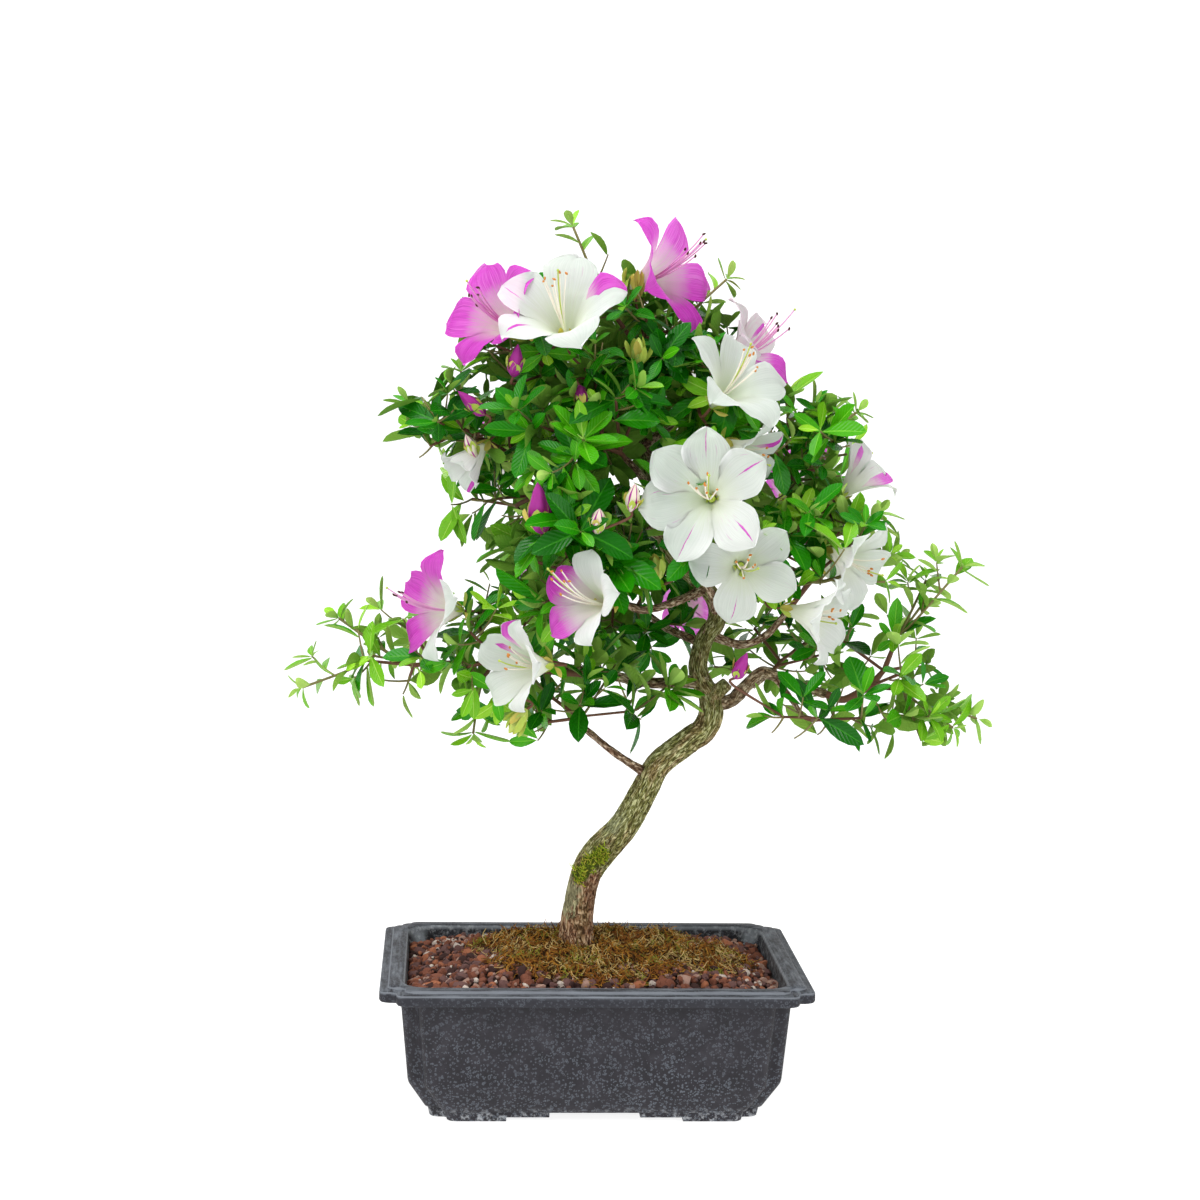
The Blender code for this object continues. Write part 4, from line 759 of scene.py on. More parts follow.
massTable = {  # its bearer, centre, half sizes, seed and whorls
    "left_tip": ("left_tip", (-92, -4, 224), (34, 30, 22), 11, 4),
    "left_low": ("left", (-50, -24, 231), (38, 34, 28), 32, 8),
    "low_center": ("low_left", (-6, -14, 199), (36, 30, 16), 13, 4),
    "center_left": ("center_left", (-10, -34, 278), (42, 36, 36), 14, 9),
    "front_center": ("front", (48, -44, 290), (36, 30, 36), 15, 5),
    "left_mid": ("left_mid", (-68, 2, 342), (34, 36, 20), 16, 6),
    "front_top": ("front_top", (-6, -34, 340), (44, 36, 34), 28, 9),
    "top_left": ("top_left", (-32, -4, 378), (34, 38, 22), 17, 5),
    "top": ("trunk", (22, -6, 390), (42, 40, 24), 18, 6),
    "top_right": ("top_right", (64, -10, 364), (34, 38, 30), 19, 7),
    "right_high": ("right_high", (94, -6, 330), (36, 38, 28), 20, 7),
    "right_mid": ("right_mid", (110, -14, 276), (36, 38, 34), 21, 7),
    "right_low": ("right", (148, 4, 224), (34, 36, 30), 22, 6),
    "right_under": ("right_under", (112, -16, 197), (34, 24, 10), 23, 4),
    "right_back": ("right_back", (100, 48, 222), (32, 28, 24), 29, 4),
    "back_low": ("back_low", (12, 56, 252), (42, 34, 34), 34, 6),
    "back_left": ("back_left", (-40, 52, 304), (38, 36, 34), 25, 6),
    "back_right": ("back_right", (90, 56, 288), (40, 36, 38), 26, 6),
    "back_top": ("back_top", (28, 54, 358), (42, 36, 34), 27, 6),
}
# the green of each shoot is lower at the back and under the crown: older leaves, and painted shade
shootTips = (  # x, y, z, green
    (-152, -8, 207, 2), (-134, 6, 244, 2), (-118, -16, 226, 2), (-63, -20, 183, 2), (-98, 0, 340, 2),
    (-70, -4, 372, 2), (-17, 4, 444, 2), (67, 4, 418, 2), (134, 0, 352, 2), (188, -6, 276, 2),
    (172, 12, 268, 2), (201, 6, 191, 2), (168, -10, 180, 2), (40, -16, 213, 1), (-28, 86, 232, 1),
    (-78, 70, 318, 1), (132, 40, 318, 1), (44, 94, 374, 1),
)
# those behind the boughs and deep in the crown take the darkest green, as painted shade
moreShoots = (  # finer ones that fill the crown out
    (32, 24, 223, 0), (50, 30, 236, 0), (13, 16, 221, 0), (-8, -8, 226, 1), (60, 40, 214, 0),
    (157, 4, 277, 2), (149, -14, 264, 2), (169, 8, 254, 2), (155, 6, 181, 1), (186, -6, 187, 2),
    (7, -20, 320, 0), (-30, -12, 362, 0), (131, 10, 328, 1),
)
blossomTable = (  # calyx, way it faces, radius, lobes
    ((52, -64, 309), (-0.27, -0.95, 0.1), 31, 6),
    ((67, -52, 276), (0.05, -0.98, -0.06), 25, 5),
    ((53, -40, 353), (0.50, -0.60, 0.62), 29, 5),
    ((-38, -14, 385), (-0.68, -0.58, 0.46), 28, 5),
    ((-18, -39, 383), (-0.22, -0.66, 0.72), 33, 5),
    ((12, -4, 410), (0.80, -0.50, 0.32), 29, 5),
    ((-68, -22, 249), (-0.9, -0.4, 0.12), 26, 5),
    ((4, -58, 256), (-0.72, -0.66, 0.20), 24, 5),
    ((-24, -44, 225), (-0.80, -0.58, 0.02), 26, 5),
    ((90, -40, 254), (0.86, -0.42, -0.20), 24, 5),
    ((114, -24, 282), (0.72, -0.5, -0.36), 25, 5),
    ((120, -6, 306), (0.72, 0.1, 0.68), 22, 5),
    ((58, 3, 369), (0.80, -0.30, 0.50), 27, 5),
    ((-56, -14, 333), (-0.62, -0.34, -0.66), 17, 5),
    ((46, 58, 250), (0.25, 0.85, -0.30), 24, 5),
    ((-10, 74, 268), (-0.3, 0.94, 0.1), 27, 5),
    ((-42, 72, 318), (-0.30, 0.9, 0.28), 25, 5),
    ((8, 72, 372), (-0.2, 0.78, 0.6), 28, 5),
    ((50, 68, 348), (0.4, 0.9, 0.1), 25, 5),
    ((102, 74, 300), (0.48, 0.84, 0.26), 28, 5),
    ((116, 58, 268), (0.9, 0.38, -0.2), 23, 5),
    ((61, -34, 336), (0.66, -0.50, -0.40), 22, 5),
)

# ridges of bark, with knobs (x, y, z, reach, rise), spots of live moss and the stub of a healed cut
bark = {"sides": 112, "boughSides": 20, "pitch": 0.60, "roll": 7.6, "wind": 0.010, "depth": 0.30,
        "muscle": 0.75, "seed": 11.0,
        "knobs": ((27.0, -6.0, 183.0, 6.0, 1.3), (9.5, -7.0, 148.0, 8.0, 0.9)),
        "mossSpots": ((-4.0, -6.5, 118.0), (3.0, -7.5, 122.5), (-7.5, -5.0, 113.5)), "mossReach": 7.0,
        "stub": ((58.0, -3, 204.0, 4.6), (61.5, -3.3, 206.8, 4.1), (64.4, -3.7, 209.6, 3.7),
                 (66.6, -4.0, 211.5, 3.5), (67.3, -4.0, 212.1, 2.7), (66.9, -4.0, 211.8, 1.2))}


def limbLine(name):
    if name == "trunk":
        return mm(np.array(trunkLine))
    _, way, rootRadius, tipRadius = boughTable[name]
    line = smoothLine(way, 2 if len(way) > 3 else 1)
    along = np.linspace(0, 1, len(line))[:, None]
    return mm(np.hstack([line, rootRadius + (tipRadius - rootRadius) * along]))


limbLines = {name: limbLine(name) for name in ("trunk", *boughTable)}


def barkFinish(name, zoneShades, roughness):
    # living bark: matt, with pale wavy ridges between fine dark cracks; paler on the relief's crests and
    # darker in its grooves, the bark's own tone with painted highlight and painted shade
    finish, tree, shader = newFinish(name, {"Base Color": zoneShades[0][1], "Roughness": roughness,
                                            "Specular IOR Level": 0.25})
    marks = {k: addNode(tree, "Attribute", {"attribute_name": k}, output="Fac")
             for k in ("barkX", "barkY", "barkZ", "crest", "age", "lichen", "mossy")}
    place = addNode(tree, "CombineXYZ", None, marks["barkX"], marks["barkY"], marks["barkZ"])
    times, plus, both = {"operation": "MULTIPLY"}, {"operation": "ADD"}, {"operation": "MULTIPLY_ADD"}
    # cracks about 1 mm apart and 4 mm long that part and join again
    net = addNode(tree, "TexNoise", {"Scale": 0.66, "Detail": 2.5, "Roughness": 0.5, "Distortion": 0.9},
                  place)
    offCrack = addNode(tree, "Math", {"operation": "SUBTRACT"}, net, 0.5)
    crack = addNode(tree, "Math", {"operation": "ABSOLUTE"}, offCrack)
    ridge = addNode(tree, "MapRange", {"From Min": 0.008, "From Max": 0.095}, crack)
    fleck = addNode(tree, "TexNoise", {"Scale": 3.2, "Detail": 4.0, "Roughness": 0.7}, place)
    blotch = addNode(tree, "TexNoise", {"Scale": 0.16, "Detail": 3.0}, place)
    # the crests of the relief are painted paler: pale ridges of bark, with a painted highlight
    raised = addNode(tree, "Math", both, marks["crest"], 0.40, addNode(tree, "Math", times, ridge, 0.36))
    patchy = addNode(tree, "Math", both, fleck, 0.24, addNode(tree, "Math", times, blotch, 0.30))
    mixed = addNode(tree, "Math", plus, raised, patchy)
    shades = [addNode(tree, "ValToRGB", {"stops": tuple(zip((0.36, 0.66, 0.98), zone))}, mixed)
              for zone in zoneShades]
    # the zones change over with the bark's age, and tan patches lie over both
    older = addNode(tree, "Math", {"operation": "SUBTRACT"}, marks["age"], 0.6)
    edge = addNode(tree, "Math", both, blotch, 1.2, older)
    body = addNode(tree, "MixRGB", {"use_clamp": True}, edge, *shades[:2])
    for shade in shades[2:]:
        tan = addNode(tree, "TexNoise", {"Scale": 0.11, "Detail": 4.0, "Roughness": 0.6}, place)
        share = addNode(tree, "MapRange", {"From Min": 0.50, "From Max": 0.62, "To Max": 0.7}, tan)
        body = addNode(tree, "MixRGB", None, share, body, shade)
    # lichen: a thin grey-green film in patches of 3 to 8 mm
    film = addNode(tree, "TexNoise", {"Scale": 0.9, "Detail": 5.0, "Roughness": 0.65}, place)
    grown = addNode(tree, "Math", plus, film, marks["lichen"])
    cover = addNode(tree, "ValToRGB", {"stops": ((0.84, 0.0), (1.02, 0.85))}, grown)
    patch = addNode(tree, "Math", times, cover, addNode(tree, "Math", both, raised, 0.8, 0.45))
    body = addNode(tree, "MixRGB", None, patch, body, "#B3B78C")
    # and green where live moss takes hold
    mossy = addNode(tree, "Math", both, film, 0.8, marks["mossy"])
    tuft = addNode(tree, "ValToRGB", {"stops": ((0.78, 0.0), (0.92, 1.0))}, mossy)
    body = addNode(tree, "MixRGB", None, tuft, body, "#59651C")
    relief = addNode(tree, "Math", both, fleck, 0.30, ridge)
    bump = addNode(tree, "Bump", {"Strength": 1.0, "Distance": 0.0008, "Height": relief})
    setSockets(shader, {"Base Color": body, "Normal": bump})
    return finish


def barkPlaces(turns, radius, drops, shift=0.0):
    # where points lie on a roll of bark, in millimetres: the grain is drawn out along the limb
    wound = np.asarray(turns) + np.asarray(drops) * bark["wind"]
    return {"barkX": radius * np.cos(wound), "barkY": radius * np.sin(wound),
            "barkZ": np.asarray(drops) * 0.30 + shift + 0 * wound}


def makeTrunk():
    line = mm(np.vstack([(-7, 5, 70.0, 13.2), (-7, 5, 72.2, 11.2), trunkLine]))
    smooth = smoothLine(line, 40)
    steps = lengthsAlong(smooth)
    stops = [0.0]
    while stops[-1] < steps[-1]:
        radius = np.interp(stops[-1], steps, smooth[:, 3])
        stops.append(stops[-1] + mm(bark["pitch"]) * max(radius / 0.008, 0.5))
    stops = np.minimum(stops, steps[-1] - 1e-6)
    path = np.column_stack([np.interp(stops, steps, smooth[:, k]) for k in range(4)])
    sides = bark["sides"]
    turns, spokes = spokesOf(path[:, :3], sides)
    radii = np.repeat(path[:, 3][:, None], sides, 1)
    age, lichen, mossy, crest = (np.zeros(radii.shape) for _ in range(4))
    mossSpots, mossReach = mm(np.array(bark["mossSpots"])), mm(bark["mossReach"])
    for row, along in enumerate(stops):
        drop = along / millimetre
        radius = path[row, 3]
        height = path[row, 2] / millimetre
        flare = math.exp(-(height - 70) / 6.5)
        for k, turn in enumerate(turns):
            # the ridges wind slowly round the trunk
            wound, roll = turn + drop * bark["wind"], bark["roll"]
            spot = Vector((roll * math.cos(wound), roll * math.sin(wound), drop * 0.28 + bark["seed"]))
            ridge = 1 - 3 * abs(noise.noise(spot / 1.25)) + 0.5 * noise.noise(spot / 0.7)
            # the crest mark follows the ridges that raise the bark, and paints them paler
            crest[row, k] = np.clip(ridge, 0, 1)
            rough = noise.noise(spot / 5.0)
            muscle = noise.noise(Vector((1.3 * math.cos(turn), 1.3 * math.sin(turn), drop / 24.0)))
            roots = max(0.0, math.cos(5 * turn + 1.2 * math.sin(2 * turn)))
            share = min(radius / 0.0075, 1.15)
            relief = bark["depth"] * (ridge - 0.7) + 0.30 * rough + bark["muscle"] * muscle
            radii[row, k] += share * mm(relief)
            radii[row, k] += mm(2.4 * flare * roots)
            here = (path[row, :3] + spokes[row, k] * radius) / millimetre
            for *knob, reach, rise in bark["knobs"]:
                radii[row, k] += mm(rise * math.exp(-((here - knob) ** 2).sum() / reach**2))
            age[row, k] = np.clip((height - 107 + 12 * rough) / 12, 0, 1)
        across = spokes[row] @ np.array((-0.85, -0.5, 0.15))
        low = max(math.exp(-((height - 100) / 14.0) ** 2), 0.80 * math.exp(-((height - 136) / 12.0) ** 2))
        lichen[row] = 0.54 * low * np.clip(across, 0, 1) + 0.10
        surface = path[row, :3] + spokes[row] * radii[row][:, None]
        away = np.linalg.norm(surface[:, None] - mossSpots[None], axis=2).min(1)
        mossy[row] = np.clip(1.15 - away / mossReach, 0, 1) ** 0.7
    surface = path[:, None, :3] + spokes * radii[:, :, None]
    faces, places = ringFaces(len(path), sides)
    # the sheet of bark is laid out in four columns, to fill the square
    columns = places[:, :, 1] * 4
    column = np.minimum(np.floor(columns.mean(1)), 3)[:, None]
    places = np.stack([(column + 0.03 + 0.94 * places[:, :, 0]) / 4, 0.01 + 0.98 * (columns - column)], -1)
    trunk = Basket()
    grain = barkPlaces(np.tile(turns, len(path)), bark["roll"], np.repeat(stops / millimetre, sides),
                       bark["seed"])
    trunk.add(surface.reshape(-1, 3), faces, 0, places, age=age.ravel(), lichen=lichen.ravel(),
              mossy=mossy.ravel(), crest=crest.ravel(), **grain)
    # the healed cut on the right: a short stub with a collar and a dished end
    stub = mm(np.array(bark["stub"]))
    points, faces, places = tubeForm(stub[:, :3], stub[:, 3], 24)
    shake = np.array([noise.noise(Vector(p / mm(1.6))) for p in points])
    points = points + unit(np.array((0.2, -0.6, 0.8))) * mm(shake * 0.4)[:, None]
    grain = points / millimetre * 1.3
    trunk.add(points, faces, 0, places * 0.02, age=1.0, lichen=0.1, mossy=0.0, crest=0.5 + 0.8 * shake,
              barkX=grain[:, 0], barkY=grain[:, 1], barkZ=grain[:, 2] * 0.4)
    # cracks, bark and ridges at the foot, higher up, and in the tan patches
    zones = (("#4A2E1E", "#966A4C", "#D2B090"), ("#525024", "#8E8E4E", "#CECE9A"),
             ("#4A361C", "#92744C", "#CDB28C"))
    trunk.makePiece("trunk_bark", [barkFinish("azaleaBarkOld", zones, 0.88)], "bark", ("trunk",), crease=180)

    # a tuft of live moss in the crook of the trunk's first bend
    tuft = Basket()
    rng = random.Random(8)
    away = np.linalg.norm(surface[:, :, None] - mossSpots[None, None], axis=3).min(2)
    for row, k in zip(*np.nonzero(away < mossReach)):
        ragged = noise.noise(Vector(surface[row, k] / 0.0035)) * 0.5
        if rng.random() > 1.5 * (0.90 - away[row, k] / mossReach + 1.4 * ragged):
            continue
        out = unit(spokes[row, k] + 1.1 * np.array([rng.uniform(-1, 1) for _ in range(3)]))
        bend = mm(rng.uniform(1.2, 3.4))
        start = surface[row, k]
        line = [start, start + out * bend * 0.5, start + out * bend + (0, 0, bend * 0.3)]
        form, faces, places = tubeForm(line, mm(np.array([0.27, 0.22, 0.1])), 3)
        tuft.add(form, faces, rng.choice((0, 0, 1, 2)), places)
    finishes = [strandFinish("mossLive", "#A4B832"), strandFinish("mossLiveDeep", "#6C8022"),
                strandFinish("mossLiveGold", "#D0C650")]
    tuft.makePiece("trunk_moss", finishes, "dry_moss")


def makeBoughs():
    boughs = Basket()
    sides = bark["boughSides"]
    for number, (name, bough) in enumerate(boughTable.items()):
        line = smoothLine(limbLines[name], 10)
        # it starts inside its bearer, and swells where it leaves it
        inward = line[0, :3] - unit(line[1, :3] - line[0, :3]) * 0.003
        line = np.vstack([np.append(inward, line[0, 3]), line])
        along = lengthsAlong(line)
        turns, spokes = spokesOf(line[:, :3], sides)
        age = 0.5 if bough[2] > 3 else 0.15
        points, crest = [], []
        for row in range(len(line)):
            radius = line[row, 3] * (1 + 0.35 * math.exp(-max(along[row] - 0.004, 0) / 0.005))
            knot = 1 + 0.10 * math.sin(along[row] / 0.0052 + number) ** 8
            for turn, out in zip(turns, spokes[row]):
                spot = Vector((2.2 * math.cos(turn), 2.2 * math.sin(turn),
                               along[row] / mm(4.0) + 7 * number))
                groove = abs(noise.noise(spot))
                # the crest mark follows the grooves cut in the bark, painting them darker and the crests paler
                crest.append(np.clip(1 - 3 * groove, 0, 1))
                bulge = radius * knot + mm(0.12 - 0.5 * groove + 0.12 * noise.noise(spot * 2.6))
                points.append(line[row, :3] + bulge * out)
        points.append(line[-1, :3])
        # each bough has its own field of the flat sheet
        faces, places = closeTube(len(line), sides, 0.999)
        down, across = divmod(number, 6)
        places[:-sides] = places[:-sides] * (0.15, 0.3) + np.array((across * 0.165, down * 0.33)) + 0.005
        drops = np.repeat(along / millimetre, sides)
        grain = barkPlaces(np.tile(turns, len(line)), line[0, 3] / millimetre, drops, 9.0 * number)
        grain = {k: np.append(v, v[-1]) for k, v in grain.items()}
        boughs.add(np.array(points), faces, 0, places, age=age, lichen=0.10, mossy=0.0,
                   crest=np.array(crest + crest[-1:]), **grain)
    zones = (("#523624", "#9A745A", "#DEC8B0"), ("#4A4228", "#928762", "#CEC4A0"))
    nodes = ["bough_" + name for name in boughTable]
    boughs.makePiece("bough_bark", [barkFinish("azaleaBarkYoung", zones, 0.8)], "bark", nodes, crease=180)


makeTrunk()
print("trunk ridged")
makeBoughs()
print("boughs grown")



# the crown grows by the same seeded rule as the solids, carried on to finer twigs
growth = {"clear": 0.0003, "leafLength": 0.0305, "leafWidth": 0.0132, "leafThick": 0.0010, "bud": 0.0013,
          "tipRadius": 0.0007, "pipe": 2.3, "cellMargin": 0.0003, "shootSpacing": 0.019, "neck": 0.009}
cadLow, cadHigh = (np.array(corner) - potMiddle for corner in cadBox)
massNames = list(massTable)
massCentres = mm(np.array([massTable[name][1] for name in massNames]))
massReach = np.array([np.mean(mm(massTable[name][2])) for name in massNames])
massApart = np.linalg.norm(massCentres[:, None] - massCentres[None], axis=2)
calyxPlaces = mm(np.array([row[0] for row in blossomTable]))
calyxWays = np.array([unit(np.array(row[1])) for row in blossomTable])
blossomRadii = mm(np.array([row[2] for row in blossomTable]))
blossomDepths = 0.030 * blossomRadii / 0.028
limbStarts = np.vstack([line[:-1] for line in limbLines.values()])
limbEnds = np.vstack([line[1:] for line in limbLines.values()])
limbWays = (limbEnds - limbStarts)[:, :3]
limbSquares = (limbWays**2).sum(1)


def inOpening(point):
    # whether a point seen from the front stands in a gap of the crown
    sight = point - mm(view["place"])
    seen = (point - sight * (point[1] / sight[1])) / millimetre
    return any(math.hypot(seen[0] - across, seen[2] - up) < reach for across, up, reach in openings)


def squareTo(axis, rng):
    helper = np.array((0.0, 0.0, 1.0)) if abs(axis[2]) < 0.9 else np.array((1.0, 0.0, 0.0))
    side = unit(np.cross(axis, helper))
    other = np.cross(axis, side)
    turn = rng.uniform(0, 2 * math.pi)
    return spoke(side, other, turn), spoke(other, -side, turn)


def between(start, end, step=0.003):
    count = max(2, int(np.linalg.norm(end - start) / step) + 2)
    return start + (end - start) * np.linspace(0, 1, count)[:, None]


def inCell(points, mass, margin):
    # whether points lie in a mass's own cell of the crown
    powers = ((points[:, None] - massCentres[None]) ** 2).sum(-1) - massReach**2
    gaps = powers - powers[:, mass][:, None] - 2 * margin * massApart[mass]
    gaps[:, mass] = 1.0
    return (gaps >= 0).all()


def ownerOf(point):
    return int((((point - massCentres) ** 2).sum(-1) - massReach**2).argmin())


def limbGap(points):
    offset = points[:, None] - limbStarts[None, :, :3]
    share = np.clip((offset * limbWays).sum(2) / limbSquares, 0, 1)
    away = np.linalg.norm(offset - share[..., None] * limbWays, axis=2)
    return (away - limbStarts[:, 3] - share * (limbEnds[:, 3] - limbStarts[:, 3])).min()


def clearOfBlossoms(points, margin, front=0.0):
    # whether points keep out of every blossom's funnel, and out of the space before its mouth
    offset = points[:, None] - calyxPlaces[None]
    along = (offset * calyxWays).sum(2)
    away = np.linalg.norm(offset - along[..., None] * calyxWays, axis=2)
    level = along / blossomDepths
    knots = (0.0, 0.4, 0.8, 1.0)
    wall = blossomRadii * np.interp(level, knots, (0, 0.34, 0.9, 1.0))
    wall = wall + 0.002 * np.interp(level, knots, (1, 0, 0, 0))
    inside = (along > -margin) & (along < blossomDepths + margin) & (away < wall + margin)
    before = (along >= blossomDepths) & (along < blossomDepths + front) & (away < 0.75 * blossomRadii)
    return not (inside | before).any()


mouths = calyxPlaces + calyxWays * (blossomDepths * 0.9)[:, None]
sightWays = np.array([unit(mm(view["place"]) - mouth) for mouth in mouths])
inSight = np.array([number < 14 or number == 21 for number in range(len(blossomTable))])


def hidesBlossom(points):
    # whether points stand before a blossom that faces the front of the plant
    offset = points[:, None] - mouths[None]
    along = (offset * sightWays).sum(2)
    away = np.linalg.norm(offset - along[..., None] * sightWays, axis=2)
    return ((along > 0) & (away < 0.72 * blossomRadii) & inSight).any()


def leafPoints(root, way, normal, length, width, count, lines):
    shares = np.linspace(0.08, 1.0, count)[:, None]
    middle = root + way * length * shares
    edge = np.cross(way, normal) * width / 2 * np.interp(shares, (0.0, 0.48, 1.0), (0.2, 1.0, 0.0))
    return np.vstack([middle + edge * line for line in np.linspace(-1, 1, lines)])


class Mass:
    # one mass of foliage as it grows: joints of twigs, chains of joints, and the ends that bear leaves
    def __init__(self, name):
        bearer, centre, size, seed, _ = massTable[name]
        self.name, self.number = name, massNames.index(name)
        self.rng = random.Random(seed)
        self.fine = random.Random(1000 + seed)
        self.centre, self.size = mm(centre), mm(size)
        line = limbLines[bearer]
        self.way = unit(line[-1, :3] - line[-2, :3])
        self.joints = [line[-1, :3] + growth["clear"] * self.way]
        self.ways, self.parents = [self.way], [None]
        self.chains, self.whorls, self.shoots = [], {}, {}
        self.stemRadius = 0.95 * line[-1, 3]

    def free(self, points, margin):
        return (inCell(points, self.number, growth["cellMargin"] + growth["bud"])
                and limbGap(points) > margin and clearOfBlossoms(points, 0.0025))

    def addChain(self, parent, *points):
        chain = [parent]
        for point in points:
            self.joints.append(np.array(point))
            self.ways.append(unit(self.joints[-1] - self.joints[chain[-1]]))
            self.parents.append(chain[-1])
            chain.append(len(self.joints) - 1)
        self.chains.append(chain)
        return chain[-1]

    def byNearness(self, point):
        found = []
        for number, (joint, way) in enumerate(zip(self.joints, self.ways)):
            offset = point - joint
            length = np.linalg.norm(offset)
            if number > 0 and length > 0.005:
                found.append((length * (1.6 - 0.6 * (offset @ way) / length), number))
        return [number for _, number in sorted(found)]

    def growStem(self):
        start = self.joints[0]
        heart = self.centre - 0.2 * self.size * np.array((0, 0, 1))
        span = np.linalg.norm(heart - start)
        first = start + self.way * 0.30 * span
        second = first + 0.5 * (heart - first) + self.way * 0.08 * span
        self.addChain(0, first, second, heart)

    def candidate(self):
        while True:
            ball = np.array([self.rng.uniform(-1, 1) for _ in range(3)])
            if 0.3 < np.linalg.norm(ball) < 1:
                return self.centre + unit(ball) * self.size * self.rng.uniform(0.42, 0.80)

    def growTwigs(self, count):
        targets = [self.joints[1]]
        for _ in range(count * 3):
            if len(targets) == count + 1:
                break
            tries = [self.candidate() for _ in range(16)]
            tries = [p for p in tries if self.free(p[None], 0.004)]
            tries = [p for p in tries if inCell(p[None], self.number, 0.006)]
            if not tries:
                continue
            point = max(tries, key=lambda p: min(np.linalg.norm(p - t) for t in targets))
            for parent in self.byNearness(point)[:3]:
                if self.free(between(self.joints[parent], point), 0.0022):
                    end = self.addChain(parent, point)
                    targets.append(point)
                    outward = unit((point - self.centre) / self.size)
                    axis = unit(outward + 0.6 * self.ways[end] + (0, 0, 0.35))
                    self.whorls[end] = self.roomiest(point, axis)
                    break

    def roomiest(self, point, axis):
        side, other = squareTo(axis, self.rng)
        ways = [axis] + [unit(axis + 0.8 * turn) for turn in (side, -side, other, -other)]
        return max(ways, key=lambda way: self.room(point, way))

    def room(self, point, axis):
        side, other = squareTo(axis, random.Random(1))
        count = 0
        for number in range(6):
            out = spoke(side, other, math.radians(60 * number))
            points = leafPoints(point, 0.4 * axis + 0.9 * out, 0.9 * axis - 0.4 * out,
                                growth["leafLength"], growth["leafWidth"], 8, 3)
            count += (inCell(points, self.number, growth["cellMargin"] + growth["leafThick"])
                      and limbGap(points) > growth["leafThick"] + 2 * growth["clear"]
                      and clearOfBlossoms(points, 0.0018, front=0.016))
        return count

    def growShoots(self):
        for *tip, green in shootTips + moreShoots:
            tip = mm(tip)
            if ownerOf(tip) != self.number:
                continue
            end = tip - mm(4.5) * unit(tip - self.centre)
            for parent in self.byNearness(self.centre + 0.4 * (end - self.centre)):
                start = self.joints[parent]
                length = np.linalg.norm(end - start)
                shares = np.linspace(0, 1, 13)[:, None]
                sag = np.array((0, 0, 0.24 * length))
                path = start + (end - start) * shares - sag * shares * (1 - shares)
                if self.free(path[1:], 0.0022):
                    break
            count = max(2, int(0.75 * length / growth["shootSpacing"]))
            stops = np.linspace(0.25, 1.0, count)
            bends = [[np.interp(12 * stop, range(13), path[:, k]) for k in range(3)] for stop in stops]
            self.shoots[len(self.chains)] = green
            self.addChain(parent, *bends)

    def growBlossomTwig(self, calyx, axis):
        neck = calyx - axis * growth["neck"]
        for parent in self.byNearness(neck):
            path = between(self.joints[parent], neck)
            if limbGap(path) > 0.0022 and clearOfBlossoms(path[:-1], 0.0012):
                self.addChain(parent, neck, calyx + axis * 0.001)
                return

    def growBudTwig(self, place, way):
        neck = place - way * 0.004
        for parent in self.byNearness(place):
            path = between(self.joints[parent], neck)
            if limbGap(path) > 0.0012 and clearOfBlossoms(path, 0.0012):
                self.addChain(parent, neck, place + way * 0.001)
                return

    def radii(self):
        load = [0.0] * len(self.joints)
        for number in reversed(range(len(self.joints))):
            load[number] = max(load[number], growth["tipRadius"]**growth["pipe"])
            if self.parents[number] is not None:
                load[self.parents[number]] += load[number]
        return [min(value ** (1 / growth["pipe"]), self.stemRadius) for value in load]


# leaves and fine twigs
leaf = {"length": (0.0150, 0.0280), "width": 0.405, "spacing": 0.0040, "forms": 20,
        "rosette": (5, 8), "twiglets": (4, 6), "twigletLength": (0.008, 0.021), "inCellSlack": -0.004,
        "lowest": 0.085}
# how far along a leaf and how wide it is there, as a share of its half width
leafOutline = ((0.05, 0.12), (0.18, 0.44), (0.36, 0.80), (0.56, 1.0), (0.76, 0.89), (0.90, 0.53))
# where the sky shows through the crown, seen from the front: across, up and radius in millimetres
openings = ((-67, 301, 9), (-50, 297, 6), (-91, 364, 10), (-28, 177, 9), (32, 191, 10), (96, 181, 15),
            (116, 180, 11), (5, 425, 9), (78, 203, 7), (-93, 323, 11), (-100, 204, 8), (-80, 199, 8),
            (140, 324, 8), (-124, 232, 6), (-87, 304, 11), (160, 180, 9))
# how thickly leaves stand on the thinner masses, and how much fresher their green is; masses low in the crown
# and at the back get darker greens, partly older leaves and partly painted shade
thin = {"left_tip": 0.36, "left_low": 0.48, "right_low": 0.25, "right_under": 0.26, "low_center": 0.68,
        "left_mid": 0.80, "right_high": 0.80, "right_mid": 0.88, "center_left": 0.92, "back_left": 0.85,
        "right_back": 0.45}
freshAndShade = {"left_tip": 1.0, "left_low": 0.5, "right_low": 0.4, "right_under": 0.6, "right_mid": 0.4,
         "right_high": 0.4, "top_right": 0.2, "top_left": -0.2, "front_top": -0.4, "top": -0.3,
         "low_center": -0.9, "left_mid": -0.3, "back_low": -0.6, "center_left": -0.2}
# how much larger than the rest their leaves are
larger = {"low_center": 1.18, "center_left": 1.16, "front_center": 1.12, "front_top": 1.14,
          "top": 1.08}
# each green: the blade above, its midrib, and the blade below
greens = (("leafDark", "#106204", "#2C8410", "#629030"), ("leafDeep", "#228404", "#48A01C", "#74A03A"),
          ("leafFull", "#44A00A", "#6EBC2E", "#88B448"), ("leafFresh", "#6CB01A", "#96C848", "#A4CC62"),
          ("leafLime", "#92CE2E", "#BAE464", "#B8DC70"))


